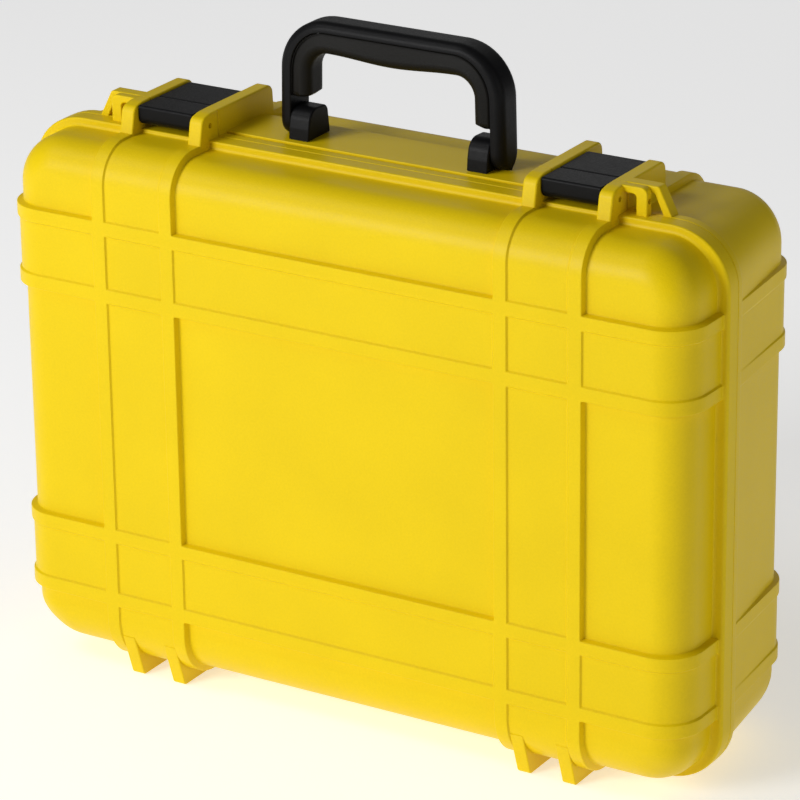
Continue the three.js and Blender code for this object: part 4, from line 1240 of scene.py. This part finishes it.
def area_light(name, place, target, size, watts, tint=(1.0, 1.0, 1.0)):
    """A square soft light at a place, turned to a target."""
    light = bpy.data.lights.new(name, "AREA")
    light.shape = "SQUARE"
    light.size = size
    light.energy = watts
    light.color = tint
    lamp = bpy.data.objects.new(name, light)
    away = Matrix.Translation(place).to_translation() - Matrix.Translation(target).to_translation()
    lamp.matrix_world = Matrix.Translation(place) @ away.to_track_quat("Z", "Y").to_matrix().to_4x4()
    bpy.context.scene.collection.objects.link(lamp)
    return lamp


class CASE_OT_stage(bpy.types.Operator):
    """Adds the pale floor, the soft lights and the camera"""

    bl_idname = "case.stage"
    bl_label = "Stage"

    def execute(self, context):
        scene = context.scene
        half = FLOOR_HALF
        mesh = bpy.data.meshes.new("floor")
        mesh.from_pydata(
            [(-half, -half, 0), (half, -half, 0), (half, half, 0), (-half, half, 0)], [], [(0, 1, 2, 3)],
        )
        floor = new_object("floor", mesh)
        paint, _, _, shader, _ = node_material("pale_floor")
        shader.inputs["Base Color"].default_value = (0.86, 0.86, 0.86, 1)
        shader.inputs["Roughness"].default_value = 0.9
        shader.inputs["Specular IOR Level"].default_value = 0.1
        shader.inputs["Emission Color"].default_value = (1, 1, 1, 1)
        shader.inputs["Emission Strength"].default_value = 0.46
        mesh.materials.append(paint)

        middle = (0.0, 0.0, 0.2)
        area_light("key", (-1.3, -2.8, 1.3), middle, 1.2, 64)
        area_light("fill", (2.8, -0.5, 1.0), middle, 1.8, 8.5)
        area_light("top", (-1.15, -0.95, 2.0), (0.0, -0.05, 0.35), 0.8, 9)
        area_light("rear", (-0.8, 2.6, 1.4), middle, 2.0, 5)

        world = bpy.data.worlds.new("studio")
        world.use_nodes = True
        world.node_tree.nodes["Background"].inputs["Color"].default_value = (1, 1, 1, 1)
        world.node_tree.nodes["Background"].inputs["Strength"].default_value = 0.13
        scene.world = world
        scene.view_settings.view_transform = "Standard"

        azimuth, elevation, roll = (math.radians(v) for v in (31.556, 21.521, -0.722))
        back = np.array([
            math.sin(azimuth) * math.cos(elevation), -math.cos(azimuth) * math.cos(elevation),
            math.sin(elevation),
        ])
        level_right = np.array([math.cos(azimuth), math.sin(azimuth), 0.0])
        level_up = np.cross(back, level_right)
        right = math.cos(roll) * level_right + math.sin(roll) * level_up
        up = -math.sin(roll) * level_right + math.cos(roll) * level_up
        camera = bpy.data.cameras.new("camera")
        camera.sensor_width = 36
        camera.lens = 188.55
        eye = bpy.data.objects.new("camera", camera)
        turn = Matrix([[*values, 0.0] for values in zip(right, up, back)] + [[0, 0, 0, 1]])
        eye.matrix_world = Matrix.Translation((1.2905, -2.1003, 1.1730)) @ turn
        scene.collection.objects.link(eye)
        scene.camera = eye
        return {"FINISHED"}


class CASE_PT_panel(bpy.types.Panel):
    """Lists the case's pieces in the sidebar"""

    bl_idname = "CASE_PT_panel"
    bl_label = "Tool case"
    bl_space_type = "VIEW_3D"
    bl_region_type = "UI"
    bl_category = "Tool case"

    def draw(self, context):
        for operator in OPERATORS:
            self.layout.operator(operator.bl_idname)
        for group in (context.scene.case_shape, context.scene.case_finish):
            for key in group.bl_rna.properties.keys():
                if key not in ("rna_type", "name"):
                    self.layout.prop(group, key)


OPERATORS = (
    CASE_OT_stage, CASE_OT_lid, CASE_OT_base, CASE_OT_seal, CASE_OT_latches, CASE_OT_handle,
    CASE_OT_brackets, CASE_OT_pins, CASE_OT_screws, CASE_OT_tray,
)
CLASSES = (CaseShape, CaseFinish) + OPERATORS + (CASE_PT_panel,)


def register():
    """Registers the classes and hangs the two groups on the scene."""
    for kind in CLASSES:
        bpy.utils.register_class(kind)
    bpy.types.Scene.case_shape = PointerProperty(type=CaseShape)
    bpy.types.Scene.case_finish = PointerProperty(type=CaseFinish)


def unregister():
    """Undoes register."""
    del bpy.types.Scene.case_finish
    del bpy.types.Scene.case_shape
    for kind in reversed(CLASSES):
        bpy.utils.unregister_class(kind)


def main():
    """Registers the add-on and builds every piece."""
    register()
    for operator in OPERATORS:
        group, name = operator.bl_idname.split(".")
        getattr(getattr(bpy.ops, group), name)()


if __name__ == "__main__":
    main()
